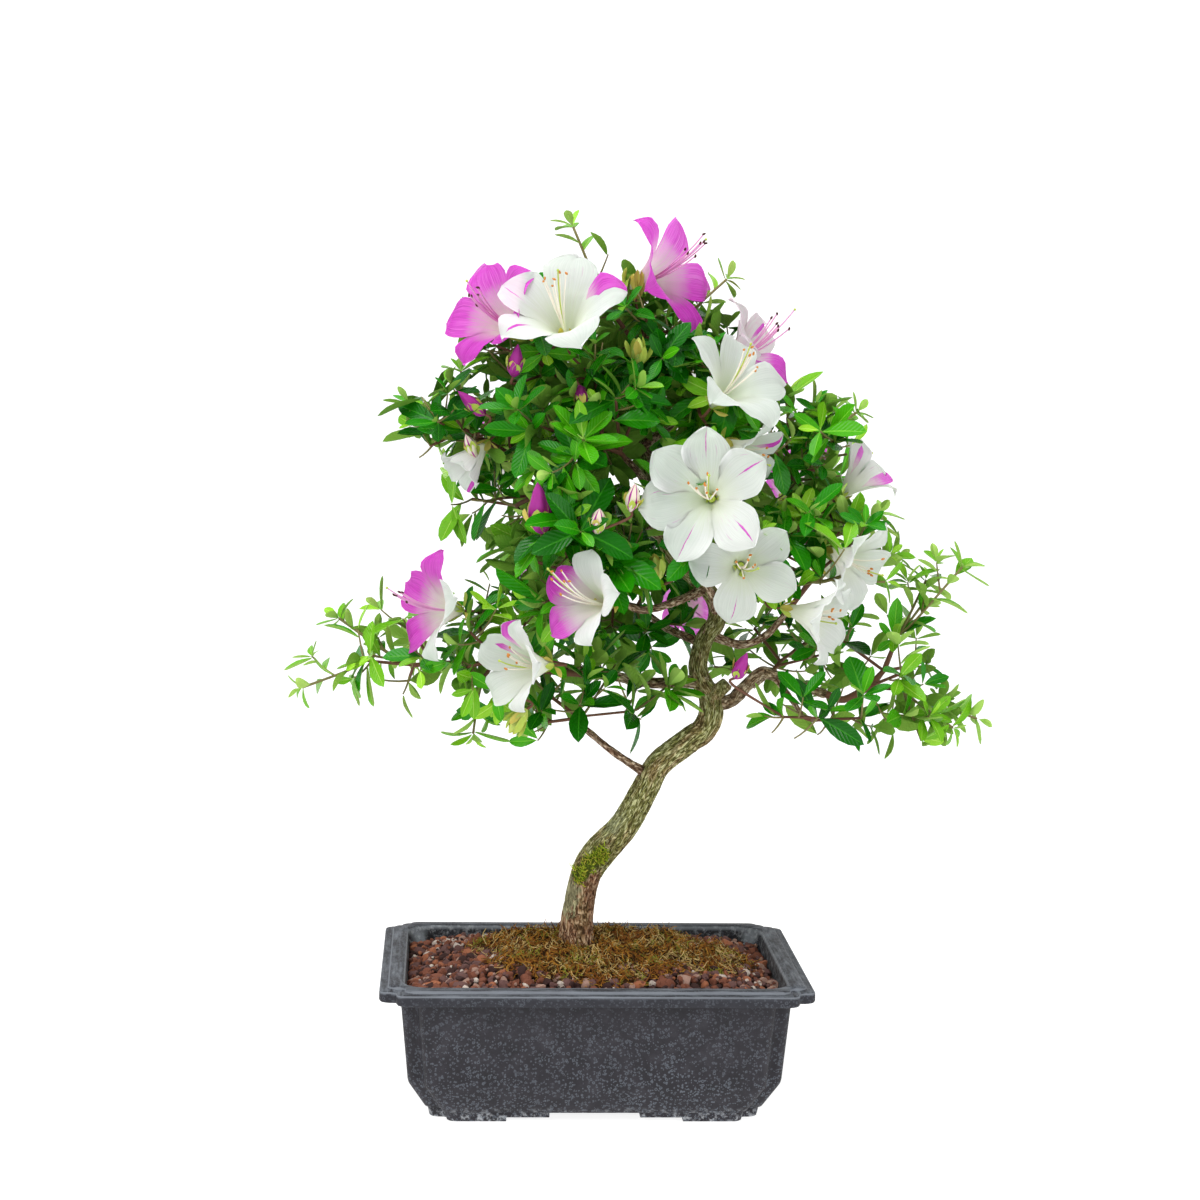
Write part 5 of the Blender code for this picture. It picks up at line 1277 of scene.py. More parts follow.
def leafForms(rng):
    # each form: its points (across, along, up) for a leaf of length 1 and half width 1, with its faces
    forms = []
    for _ in range(leaf["forms"]):
        droop, fold = rng.uniform(-0.06, 0.26), rng.uniform(0.14, 0.42)
        sickle, twist = rng.uniform(-0.05, 0.05), rng.uniform(-0.22, 0.22)
        points = [(0.0, 0.0, 0.0)]
        for v, w in leafOutline:
            wavy = 1 + rng.uniform(-0.05, 0.05)
            for u in (-1.0, -0.085, 0.085, 1.0):
                x = u * w * wavy if abs(u) == 1 else u * min(1.3 - v, 1.0)
                points.append((x, v, 0.2 * fold * abs(x) - (0.0 if abs(u) == 1 else 0.010)))
            points.append((0.0, v, -0.030))
        points.append((0.0, 1.0, 0.0))
        points = np.array(points)
        v = points[:, 1].copy()
        points[:, 2] += twist * points[:, 0] * v * 0.2 - droop * v**2
        points[:, 0] += 5 * sickle * v**2
        points[:, 1] = v * (1 - 0.5 * droop**2 * v)
        forms.append(points)
    rows = len(leafOutline)
    tip = 1 + 5 * rows
    faces, parts = [], []

    def put(part, *corners):
        faces.append(list(corners) + [-1] * (4 - len(corners)))
        parts.append(part)

    for k, part in ((1, 0), (2, 1), (3, 0)):
        put(part, 0, k + 1, k)
    put(2, 0, 1, 5)
    put(2, 0, 5, 4)
    for row in range(rows - 1):
        a, b = 1 + 5 * row, 6 + 5 * row
        for k, part in ((0, 0), (1, 1), (2, 0)):
            put(part, a + k, a + k + 1, b + k + 1, b + k)
        put(2, a, b, b + 4, a + 4)
        put(2, a + 4, b + 4, b + 3, a + 3)
    a = 1 + 5 * (rows - 1)
    for k, part in ((0, 0), (1, 1), (2, 0)):
        put(part, a + k, a + k + 1, tip)
    put(2, a, tip, a + 4)
    put(2, a + 4, tip, a + 3)
    return forms, np.array(faces), np.array(parts)


leafRandom = random.Random(21)
leafShapes, leafFaces, leafParts = leafForms(leafRandom)
leafPlaces = np.stack([0.5 + 0.48 * leafShapes[0][:, 0], 0.01 + 0.98 * leafShapes[0][:, 1]], -1)
leafPlaces = np.clip(leafPlaces, 0, 1)[np.maximum(leafFaces, 0)]


def leafFinish(name, hexCode, roughness, under=False):
    # azalea leaf: waxy above with sunken side veins, matt and paler below
    finish, tree, shader = newFinish(name, {"Base Color": hexCode, "Roughness": roughness, "IOR": 1.45,
                                            "Specular IOR Level": 0.10 if under else 0.24})
    place = addNode(tree, "UVMap", {"uv_map": "OFBake"})
    # side veins run up and out from the midrib, about 2 mm apart
    across = addNode(tree, "SeparateXYZ", None, place)
    off = addNode(tree, "Math", {"operation": "SUBTRACT"}, across, 0.5)
    away = addNode(tree, "Math", {"operation": "ABSOLUTE"}, off)
    slant = addNode(tree, "Math", {"operation": "MULTIPLY_ADD"}, away, -0.62, across.node.outputs["Y"])
    steps = addNode(tree, "Math", {"operation": "MULTIPLY"}, slant, 56.0)
    veins = addNode(tree, "Math", {"operation": "SINE"}, steps)
    bump = addNode(tree, "Bump", {"Strength": 0.20, "Distance": 0.0004, "Height": veins})
    bloom = addNode(tree, "TexNoise", {"Scale": 5.0, "Detail": 3.0}, place)
    sheen = addNode(tree, "MapRange", {"To Min": roughness - 0.08, "To Max": roughness + 0.10}, bloom)
    setSockets(shader, {"Roughness": sheen, "Normal": bump})
    return finish


def twigFinish(name, hexCode, roughness):
    # young azalea wood: thin reddish bark that flakes in short fibres
    return grainFinish(name, {"Base Color": hexCode, "Roughness": roughness}, {"Scale": 4.0, "Detail": 4.0},
                       {"Strength": 0.5, "Distance": 0.0002}, (7.0, 2.0, 1.0), (0.62, 1.35))


leafFinishes = []
for greenName, blade, rib, below in greens:
    leafFinishes += [leafFinish(greenName, blade, 0.27), leafFinish(greenName + "Rib", rib, 0.38),
                     leafFinish(greenName + "Below", below, 0.65, under=True)]
twigFinishes = [twigFinish("azaleaTwig", "#6B4530", 0.75), twigFinish("azaleaShoot", "#7C7440", 0.6)]


def laidLeaf(root, way, normal, length, width, rng):
    # one of the leaf forms, at its size and place
    local = rng.choice(leafShapes) * np.array((width / 2, length, length))
    return root + local[:, :1] * np.cross(way, normal) + local[:, 1:2] * way + local[:, 2:] * normal


class Spray:
    # lays the leaves and fine twigs of one mass, and keeps them apart
    def __init__(self, mass):
        self.mass, self.rng = mass, mass.fine
        self.leaves, self.twigs = Basket(), Basket()
        self.taken = {}
        self.count = 0
        self.thin, self.freshAndShade = thin.get(mass.name, 1.0), freshAndShade.get(mass.name, 0.0)
        self.larger = larger.get(mass.name, 1.0)

    def crowded(self, point):
        gap = leaf["spacing"]
        cell = tuple((point // gap).astype(int))
        for dx in (-1, 0, 1):
            for dy in (-1, 0, 1):
                for dz in (-1, 0, 1):
                    for other in self.taken.get((cell[0] + dx, cell[1] + dy, cell[2] + dz), ()):
                        if np.abs(other - point).max() < gap:
                            return True
        self.taken.setdefault(cell, []).append(point)
        return False

    def layLeaf(self, root, way, normal, length, green):
        if self.rng.random() > self.thin**0.5:
            return
        length = length * self.larger
        width = length * leaf["width"] * self.rng.uniform(0.85, 1.15)
        points = leafPoints(root, way, normal, length, width, 5, 3)
        if (limbGap(points) < 0.0006 or not clearOfBlossoms(points, 0.0010, front=0.020)
                or hidesBlossom(points[2::5])
                or not inCell(points[2::5], self.mass.number, leaf["inCellSlack"])
                or (points < cadLow + 0.001).any() or (points > cadHigh - 0.001).any()
                or points[:, 2].min() < leaf["lowest"] or inOpening(points[7]) or inOpening(points[9])
                or self.crowded(root + way * length * 0.55)):
            return
        placed = laidLeaf(root, way, normal, length, width, self.rng)
        self.leaves.add(placed, leafFaces, 3 * green + leafParts, leafPlaces)
        self.count += 1

    def leafFrame(self, axis, out, tilt):
        way = spoke(axis, out, tilt)
        normal = spoke(-out, axis, tilt)
        # blades turn their upper side a little to the light
        normal = normal + 0.45 * np.array((0, -0.25, 1.0))
        normal = unit(normal - way * (normal @ way))
        return unit(way), normal

    def rosette(self, point, axis, scale, green, count=None):
        side, other = squareTo(axis, self.rng)
        count = count or self.rng.randint(*leaf["rosette"])
        start = self.rng.uniform(0, 6.28)
        for k in range(count):
            rank = k / max(count - 1, 1)  # 0 is the oldest leaf, at the outside
            out = spoke(side, other, start + k * goldenTurn)
            tilt = math.radians(84 - 50 * rank + self.rng.uniform(-10, 10))
            way, normal = self.leafFrame(axis, out, tilt)
            length = self.rng.uniform(*leaf["length"]) * scale * (1.0 - 0.42 * rank)
            younger = min(green + (rank > 0.72) + (rank > 0.9), 4)
            root = point + axis * (0.0016 * rank - 0.0008) + way * 0.0004
            self.layLeaf(root, way, normal, length, younger)

    def layTwig(self, line, radii, sides=5, slot=0):
        points, faces, places = tubeForm(line, radii, sides)
        self.twigs.add(points, faces, slot, places)

    def twiglet(self, start, way, length, scale, green, radius):
        for shrink in (1.0, 0.75, 0.5):
            reach = length * shrink
            shares = np.linspace(0, 1, 5)[:, None]
            line = start + way * reach * shares + np.array((0, 0, 0.22 * reach)) * shares**2
            if (limbGap(line[1:]) > 0.0010 and clearOfBlossoms(line[1:], 0.0015, front=0.012)
                    and inCell(line[-1:], self.mass.number, leaf["inCellSlack"])):
                break
        else:
            return
        self.layTwig(line, radius * np.linspace(1.0, 0.62, 5), 5, 1)
        end = unit(line[-1] - line[-2])
        side, other = squareTo(end, self.rng)
        count = int(reach / 0.0048)
        for k in range(count):
            share = 0.25 + 0.6 * (k + self.rng.random()) / count
            out = spoke(side, other, k * goldenTurn + self.rng.uniform(-0.3, 0.3))
            at = line[0] + (line[-1] - line[0]) * share
            bladeWay, normal = self.leafFrame(end, out, math.radians(self.rng.uniform(48, 72)))
            self.layLeaf(at, bladeWay, normal, self.rng.uniform(*leaf["length"]) * scale * 0.9, green)
        self.rosette(line[-1], end, scale, green)

    def whorl(self, joint, axis):
        point = self.mass.joints[joint]
        outward = np.linalg.norm((point - self.mass.centre) / self.mass.size)
        # leaves nearer a mass's middle take darker greens: older leaves, and painted shade deep in the crown
        green = int(np.clip(round(self.rng.gauss(0.9 + 0.6 * outward + self.freshAndShade, 0.7)), 0, 3))
        self.rosette(point, axis, 1.05, max(green - 1, 0), 7)
        side, other = squareTo(axis, self.rng)
        count = max(round(self.rng.randint(*leaf["twiglets"]) * self.thin**0.5), 2)
        parent = self.mass.joints[self.mass.parents[joint]]
        for k in range(count):
            out = spoke(side, other, k * goldenTurn + self.rng.uniform(-0.3, 0.3))
            back = self.rng.uniform(0.0, 0.45) if k else 0.0
            start = point + (parent - point) * back
            way = unit(axis * self.rng.uniform(0.25, 0.9) + out)
            shade = int(np.clip(green + round(self.rng.gauss(0.2, 0.8)), 0, 4))
            self.twiglet(start, way, self.rng.uniform(*leaf["twigletLength"]),
                         self.rng.uniform(0.72, 1.05), shade, 0.00062)

    def shoot(self, chain, green):
        kept, self.thin, self.larger = (self.thin, self.larger), 1.0, 1.0
        line = smoothLine([self.mass.joints[j] for j in chain], 6)
        along = lengthsAlong(line)
        at, k = 0.010, 0
        side, other = squareTo(unit(line[-1] - line[0]), self.rng)
        while at < along[-1] - 0.003:
            point = np.array([np.interp(at, along, line[:, d]) for d in range(3)])
            ahead = np.array([np.interp(at + 0.002, along, line[:, d]) for d in range(3)])
            way = unit(ahead - point)
            out = spoke(side, other, k * goldenTurn) + np.array((0, 0, 0.5))
            out = unit(out - way * (out @ way))
            share = at / along[-1]
            bladeWay, normal = self.leafFrame(way, out, math.radians(self.rng.uniform(45, 66)))
            shade = min(green + (share > 0.45) + (share > 0.8 and self.rng.random() < 0.6), 4)
            large = 1.0 if green > 1 else 1.35
            length = self.rng.uniform(0.0145, 0.0210) * large * (1.05 - 0.2 * share)
            self.layLeaf(point, bladeWay, normal, length, shade)
            if k % 3 == 1 and share < 0.7:
                self.twiglet(point, unit(way * 0.8 + out), self.rng.uniform(0.008, 0.014), 0.7 * large,
                             shade, 0.0006)
            at += self.rng.uniform(0.0038, 0.0068)
            k += 1
        self.rosette(line[-1], unit(line[-1] - line[-2]), 0.74 if green > 1 else 1.0, min(green + 1, 4), 7)
        self.thin, self.larger = kept


def growMass(name):
    mass = Mass(name)
    mass.growStem()
    mass.growTwigs(massTable[name][4])
    mass.growShoots()
    for calyx, axis in zip(calyxPlaces, calyxWays):
        if ownerOf(calyx - axis * growth["neck"]) == mass.number:
            mass.growBlossomTwig(calyx, axis)
    for place, way, *_ in budTable:
        if ownerOf(mm(place)) == mass.number:
            mass.growBudTwig(mm(place), unit(np.array(way, float)))
    radii = mass.radii()
    spray = Spray(mass)
    for number, chain in enumerate(mass.chains):
        line = smoothLine([mass.joints[j] for j in chain], 5)
        thick = smoothLine([[radii[j]] for j in chain], 5)[:, 0]
        if number:
            thick = np.minimum(thick, 1.25 * radii[chain[1]])
        elif line[0][2] > 0:
            line = np.vstack([line[0] - mass.way * 0.002, line])
            thick = np.append(thick[0], thick)
        wobble = np.array([noise.noise(Vector(p / 0.006)) for p in line])
        thick = thick * (1 + 0.12 * wobble)
        spray.layTwig(line, thick, 7 if thick[0] > 0.0012 else 6, 1 if number in mass.shoots else 0)
    for number, chain in enumerate(mass.chains):
        if number in mass.shoots:
            spray.shoot(chain, mass.shoots[number])
    for joint, axis in mass.whorls.items():
        spray.whorl(joint, axis)
    nodes = ["foliage_" + name]
    spray.leaves.makePiece("leaves_" + name, leafFinishes, "foliage", nodes, crease=50)
    spray.twigs.makePiece("twigs_" + name, twigFinishes, "bark", (), crease=180)
    makeFlowers(mass)
    return spray.count



# blossoms and buds
petal = {"rows": (0, 0.08, 0.16, 0.24, 0.32, 0.39, 0.46, 0.53, 0.60, 0.67, 0.74, 0.81, 0.87, 0.92, 0.957,
                  0.983, 1.0),
         "across": 14, "thick": 0.00022, "groove": 0.014, "ruffle": 0.030, "lap": 0.028}
# how far out and how far forward a petal is along its length, and its half width, as shares
petalOut = ((0, 0.05), (0.12, 0.11), (0.25, 0.21), (0.38, 0.34), (0.50, 0.48), (0.65, 0.67), (0.80, 0.85),
            (1.0, 1.04))
petalAhead = ((0, 0), (0.12, 0.22), (0.25, 0.46), (0.38, 0.66), (0.50, 0.80), (0.65, 0.92), (0.80, 0.97),
              (1.0, 0.92))
petalWide = ((0.38, 0.240), (0.46, 0.310), (0.54, 0.365), (0.62, 0.398), (0.70, 0.395), (0.77, 0.352),
             (0.83, 0.292), (0.885, 0.222), (0.93, 0.152), (0.965, 0.088), (0.985, 0.046), (1.0, 0.0))
petalGap = 72


def even(first):
    return tuple(first + petalGap * k for k in range(5))


# what most blossoms share, and for each where its petals point, which are magenta (m), its stamens'
# count, reach and dark tips, and the stripes on white petals as place across, half width, start and end
commonLook = {"open": 1.0, "size": 1.0, "depth": 1.0, "wide": 1.0, "blush": 0.30, "pink": 0.0, "flecks": 0.0,
              "stripes": {}}
blossomLooks = tuple({**commonLook, **look} for look in (
    {"turns": (33, 90, 139, 189, 246, 316), "shades": "wwwwww", "stamens": (7, 0.92, 0), "size": 1.04,
     "depth": 0.6, "flecks": 0.3, "stripes": {0: (0.03, 0.045, 0.52, 1.0), 1: (0.02, 0.034, 0.55, 1.0),
                 4: (0.0, 0.03, 0.4, 1.0), 5: (0.16, 0.05, 0.52, 0.97), 3: (-0.5, 0.03, 0.6, 0.8)}},
    {"turns": (172, 100, 42, 338, 256), "shades": "wwwww", "stamens": (6, 0.9, 0), "size": 1.06,
     "depth": 0.6, "wide": 0.96, "flecks": 0.12, "stripes": {4: (0.05, 0.03, 0.5, 0.95)}},
    {"turns": (18, 88, 160, 236, 308), "shades": "wwwww", "stamens": (6, 0.98, 0), "depth": 0.82,
     "wide": 0.94},
    {"turns": even(20), "shades": "mmmmm", "stamens": (6, 1.25, 1), "size": 1.02, "wide": 1.02,
     "blush": 0.05},
    {"turns": even(0), "shades": "wwwww", "stamens": (6, 0.95, 0), "open": 0.86, "size": 1.15,
     "depth": 0.76, "wide": 0.96, "flecks": 0.25, "stripes": {0: (0.75, 0.55, 0.42, 1.3),
                 3: (-0.2, 0.07, 0.45, 0.9), 2: (0.3, 0.03, 0.5, 0.95)}},
    {"turns": even(10), "shades": "mmmmm", "stamens": (7, 1.35, 1), "size": 1.1, "wide": 0.84,
     "blush": 0.06},
    {"turns": even(0), "shades": "wmmmw", "stamens": (5, 1.15, 1), "open": 0.92, "size": 1.18,
     "depth": 0.7, "wide": 0.92, "blush": 0.18, "flecks": 0.2},
    {"turns": even(0), "shades": "wwmmw", "stamens": (6, 1.4, 0), "open": 0.9, "size": 1.1,
     "depth": 0.85, "blush": 0.38},
    {"turns": even(10), "shades": "wwwww", "stamens": (5, 0.9, 0), "open": 0.78, "size": 1.12,
     "depth": 0.85, "flecks": 0.1, "stripes": {1: (0.72, 0.26, 0.35, 1.2), 2: (-0.4, 0.16, 0.1, 0.7)}},
    {"turns": even(12), "shades": "wwwww", "stamens": (5, 0.9, 0), "open": 0.86, "size": 1.06},
    {"turns": even(40), "shades": "wwwww", "stamens": (5, 0.9, 0), "open": 0.9, "size": 1.08,
     "depth": 0.8},
    {"turns": even(5), "shades": "wwwww", "stamens": (5, 0.9, 0), "open": 0.8, "size": 1.05,
     "flecks": 0.3, "stripes": {4: (0.5, 0.5, 0.3, 1.3), 3: (0.1, 0.25, 0.3, 0.8)}},
    {"turns": even(5), "shades": "mwwwm", "stamens": (6, 1.3, 1), "open": 0.95, "size": 1.05,
     "pink": 1.1, "flecks": 0.2, "stripes": {1: (0.2, 0.12, 0.4, 1.2)}},
    {"turns": even(15), "shades": "wwwww", "stamens": (0, 0.9, 0), "open": 0.6, "size": 1.15,
     "flecks": 0.1, "stripes": {4: (0.6, 0.3, 0.4, 1.2)}},
    {"turns": even(0), "shades": "mmmmm", "stamens": (6, 0.95, 0), "open": 0.8, "size": 0.82,
     "blush": 0.0, "flecks": 0.1},
    {"turns": even(0), "shades": "mmmmm", "stamens": (6, 1.25, 1)},
    {"turns": even(20), "shades": "wwwww", "stamens": (6, 0.95, 0), "flecks": 0.3,
     "stripes": {0: (0.0, 0.05, 0.5, 1.0), 3: (0.5, 0.4, 0.4, 1.2)}},
    {"turns": even(0), "shades": "wmmww", "stamens": (6, 1.1, 0), "open": 0.95, "flecks": 0.2},
    {"turns": even(30), "shades": "wwwww", "stamens": (6, 0.95, 0), "open": 0.9, "flecks": 0.1,
     "stripes": {2: (0.0, 0.04, 0.4, 1.0)}},
    {"turns": even(0), "shades": "mmmmm", "stamens": (6, 1.3, 1), "open": 0.95},
    {"turns": even(0), "shades": "wwwww", "stamens": (5, 0.9, 0), "open": 0.8, "flecks": 0.1},
    {"turns": even(10), "shades": "wwwww", "stamens": (4, 0.9, 0), "open": 0.9, "depth": 0.8,
     "flecks": 0.1, "stripes": {0: (-0.3, 0.2, 0.3, 1.05), 4: (0.1, 0.1, 0.4, 1.0)}},
))
# each bud: its place, the way it points, its length and width in millimetres, its kind
budTable = (
    ((17, -38, 372), (-0.05, -0.35, 0.93), 15, 7.5, "green"),
    ((17, -15, 405), (0.05, -0.2, 0.97), 13, 5.5, "spent"),
    ((-4, -68, 292), (0.05, -0.55, 0.83), 15, 7.5, "pale"),
    ((-30, -56, 291), (-0.10, -0.35, 0.92), 27, 11.5, "magenta"),
    ((-58, -30, 347), (-0.72, -0.20, 0.62), 18, 7.0, "magenta"),
    ((-12, -41, 362), (0.2, -0.5, -0.84), 17, 6.5, "magenta"),
    ((-44, -34, 366), (0.1, -0.35, 0.93), 17, 7.5, "magenta"),
    ((-36, -42, 203), (-0.55, -0.2, -0.75), 15, 7.0, "green"),
    ((-62, -26, 326), (-0.4, -0.3, 0.85), 13, 6.0, "pale"),
    ((68, -34, 218), (0.3, -0.4, 0.85), 16, 7.0, "magenta"),
    ((12, -70, 303), (0.1, -0.5, 0.86), 16, 6.5, "pale"),
    ((28, -46, 268), (-0.2, -0.5, 0.84), 14, 6.5, "green"),
    ((40, 90, 300), (0.1, 0.8, 0.6), 17, 7.0, "magenta"),
    ((-30, 84, 290), (-0.3, 0.8, 0.5), 15, 6.5, "pale"),
    ((80, 84, 330), (0.3, 0.7, 0.6), 15, 7.0, "green"),
)
petalMarks = ("across", "along", "magenta", "stripePlace", "stripeWidth", "stripeStart", "stripeEnd",
              "flecks", "petalNumber", "blush", "pink")
noMarks = {mark: 0.0 for mark in petalMarks}


def petalFinish():
    # azalea petal: thin, moist and velvety, with veins that fan out to its edge
    finish, tree, shader = newFinish("azaleaPetal", {
        "Base Color": "#D2D6D4", "Roughness": 0.55, "Specular IOR Level": 0.18, "Subsurface Weight": 0.65,
        "Subsurface Scale": 0.0055, "Subsurface Radius": (1.0, 0.8, 0.95)})
    mark = {k: addNode(tree, "Attribute", {"attribute_name": k}, output="Fac") for k in petalMarks}
    spot = addNode(tree, "CombineXYZ", None, mark["across"], mark["along"], mark["petalNumber"])
    ragged = addNode(tree, "TexNoise", {"Scale": 9.0, "Detail": 4.0, "Roughness": 0.65}, spot)
    plus, minus, times = {"operation": "ADD"}, {"operation": "SUBTRACT"}, {"operation": "MULTIPLY"}
    least, most, both = {"operation": "MINIMUM"}, {"operation": "MAXIMUM"}, {"operation": "MULTIPLY_ADD"}
    # the stripe narrows to a point at its start, and its edge is feathered along the veins
    feather = addNode(tree, "Math", both, ragged, 0.07, -0.035)
    aside = addNode(tree, "Math", minus, mark["across"], mark["stripePlace"])
    aside = addNode(tree, "Math", plus, aside, feather)
    away = addNode(tree, "Math", {"operation": "ABSOLUTE"}, aside)
    fromStart = addNode(tree, "Math", minus, mark["along"], mark["stripeStart"])
    fromStart = addNode(tree, "Math", times, fromStart, 6.0)
    toEnd = addNode(tree, "Math", minus, mark["stripeEnd"], mark["along"])
    toEnd = addNode(tree, "Math", times, toEnd, 9.0)
    taper = addNode(tree, "Math", least, fromStart, toEnd)
    taper = addNode(tree, "Math", least, addNode(tree, "Math", most, taper, 0.0), 1.0)
    halfWidth = addNode(tree, "Math", times, taper, mark["stripeWidth"])
    inside = addNode(tree, "Math", minus, halfWidth, away)
    stripe = addNode(tree, "MapRange", {"From Min": -0.004, "From Max": 0.022}, inside)
    # flecks: short dashes that lie along the veins
    dash = addNode(tree, "Mapping", {"Scale": (13.0, 4.2, 1.0)}, spot)
    dashes = addNode(tree, "TexNoise", {"Scale": 1.0, "Detail": 1.0}, dash)
    fleck = addNode(tree, "MapRange", {"From Min": 0.70, "From Max": 0.76}, dashes)
    flecks = addNode(tree, "Math", times, fleck, mark["flecks"])
    tinted = addNode(tree, "Math", most, addNode(tree, "Math", most, stripe, flecks), mark["magenta"])
    # fine veins, about 25 across a petal
    comb = addNode(tree, "Mapping", {"Scale": (12.0, 0.9, 1.0)}, spot)
    veins = addNode(tree, "TexNoise", {"Scale": 2.6, "Detail": 3.0, "Distortion": 0.3}, comb)
    whites = addNode(tree, "ValToRGB", {"stops": ((0.30, "#D8DAD9"), (0.62, "#E4E5E4"))}, veins)
    magentas = addNode(tree, "ValToRGB", {"stops": ((0.28, "#B0109A"), (0.50, "#D224BC"),
                                                    (0.74, "#E244D2"))}, veins)
    # magenta petals pale to blush in the throat, along the veins
    depth = addNode(tree, "Math", plus, mark["along"], addNode(tree, "Math", both, veins, 0.30, -0.15))
    past = addNode(tree, "Math", minus, depth, mark["blush"])
    blush = addNode(tree, "MapRange", {"From Min": 0.02, "From Max": 0.28}, past)
    strong = addNode(tree, "MixRGB", None, blush, "#E4BCDD", magentas)
    # and some white ones are flushed with rose in patches
    pinkness = addNode(tree, "Math", times, mark["pink"], addNode(tree, "Math", both, ragged, 1.1, -0.15))
    rosy = addNode(tree, "MixRGB", {"use_clamp": True}, pinkness, whites, "#E39CC8")
    coloured = addNode(tree, "MixRGB", None, tinted, rosy, strong)
    # a yellow-green flush deep in the throat of every flower
    deep = addNode(tree, "MapRange", {"From Min": 0.56, "From Max": 0.16, "To Max": 0.55}, depth)
    flushed = addNode(tree, "MixRGB", None, deep, coloured, "#E6F0B4")
    bump = addNode(tree, "Bump", {"Strength": 0.14, "Distance": 0.0005, "Height": veins})
    setSockets(shader, {"Base Color": flushed, "Normal": bump})
    return finish


def softFinish(name, hexCode, roughness):
    # fleshy flower parts: filaments, anthers, bracts and buds, faintly streaked along their length
    return grainFinish(name, {"Base Color": hexCode, "Roughness": roughness, "Specular IOR Level": 0.3,
                              "Subsurface Weight": 0.1, "Subsurface Scale": 0.002},
                       {"Scale": 1.0, "Detail": 3.0}, {"Strength": 0.3, "Distance": 0.0002},
                       (16.0, 1.5, 1.0), (0.80, 1.16))


flowerParts = (  # part, material, colour, roughness
    ("filament", "filamentPale", "#EFE9DC", 0.5), ("antherPale", "antherOrange", "#C98238", 0.7),
    ("antherDark", "antherMaroon", "#4A1A1E", 0.7), ("bract", "bractGreen", "#B3C752", 0.6),
    ("bractGold", "bractGold", "#D3C460", 0.6), ("budGreen", "budGreen", "#C3D268", 0.55),
    ("budMagenta", "budMagenta", "#A82A92", 0.5), ("budPale", "budPale", "#E9DDCB", 0.5),
    ("filamentPink", "filamentPink", "#DC9CCB", 0.5),
)
flowerFinishes = [petalFinish()] + [softFinish(*row[1:]) for row in flowerParts]
part = {"petal": 0, **{row[0]: number for number, row in enumerate(flowerParts, 1)}}


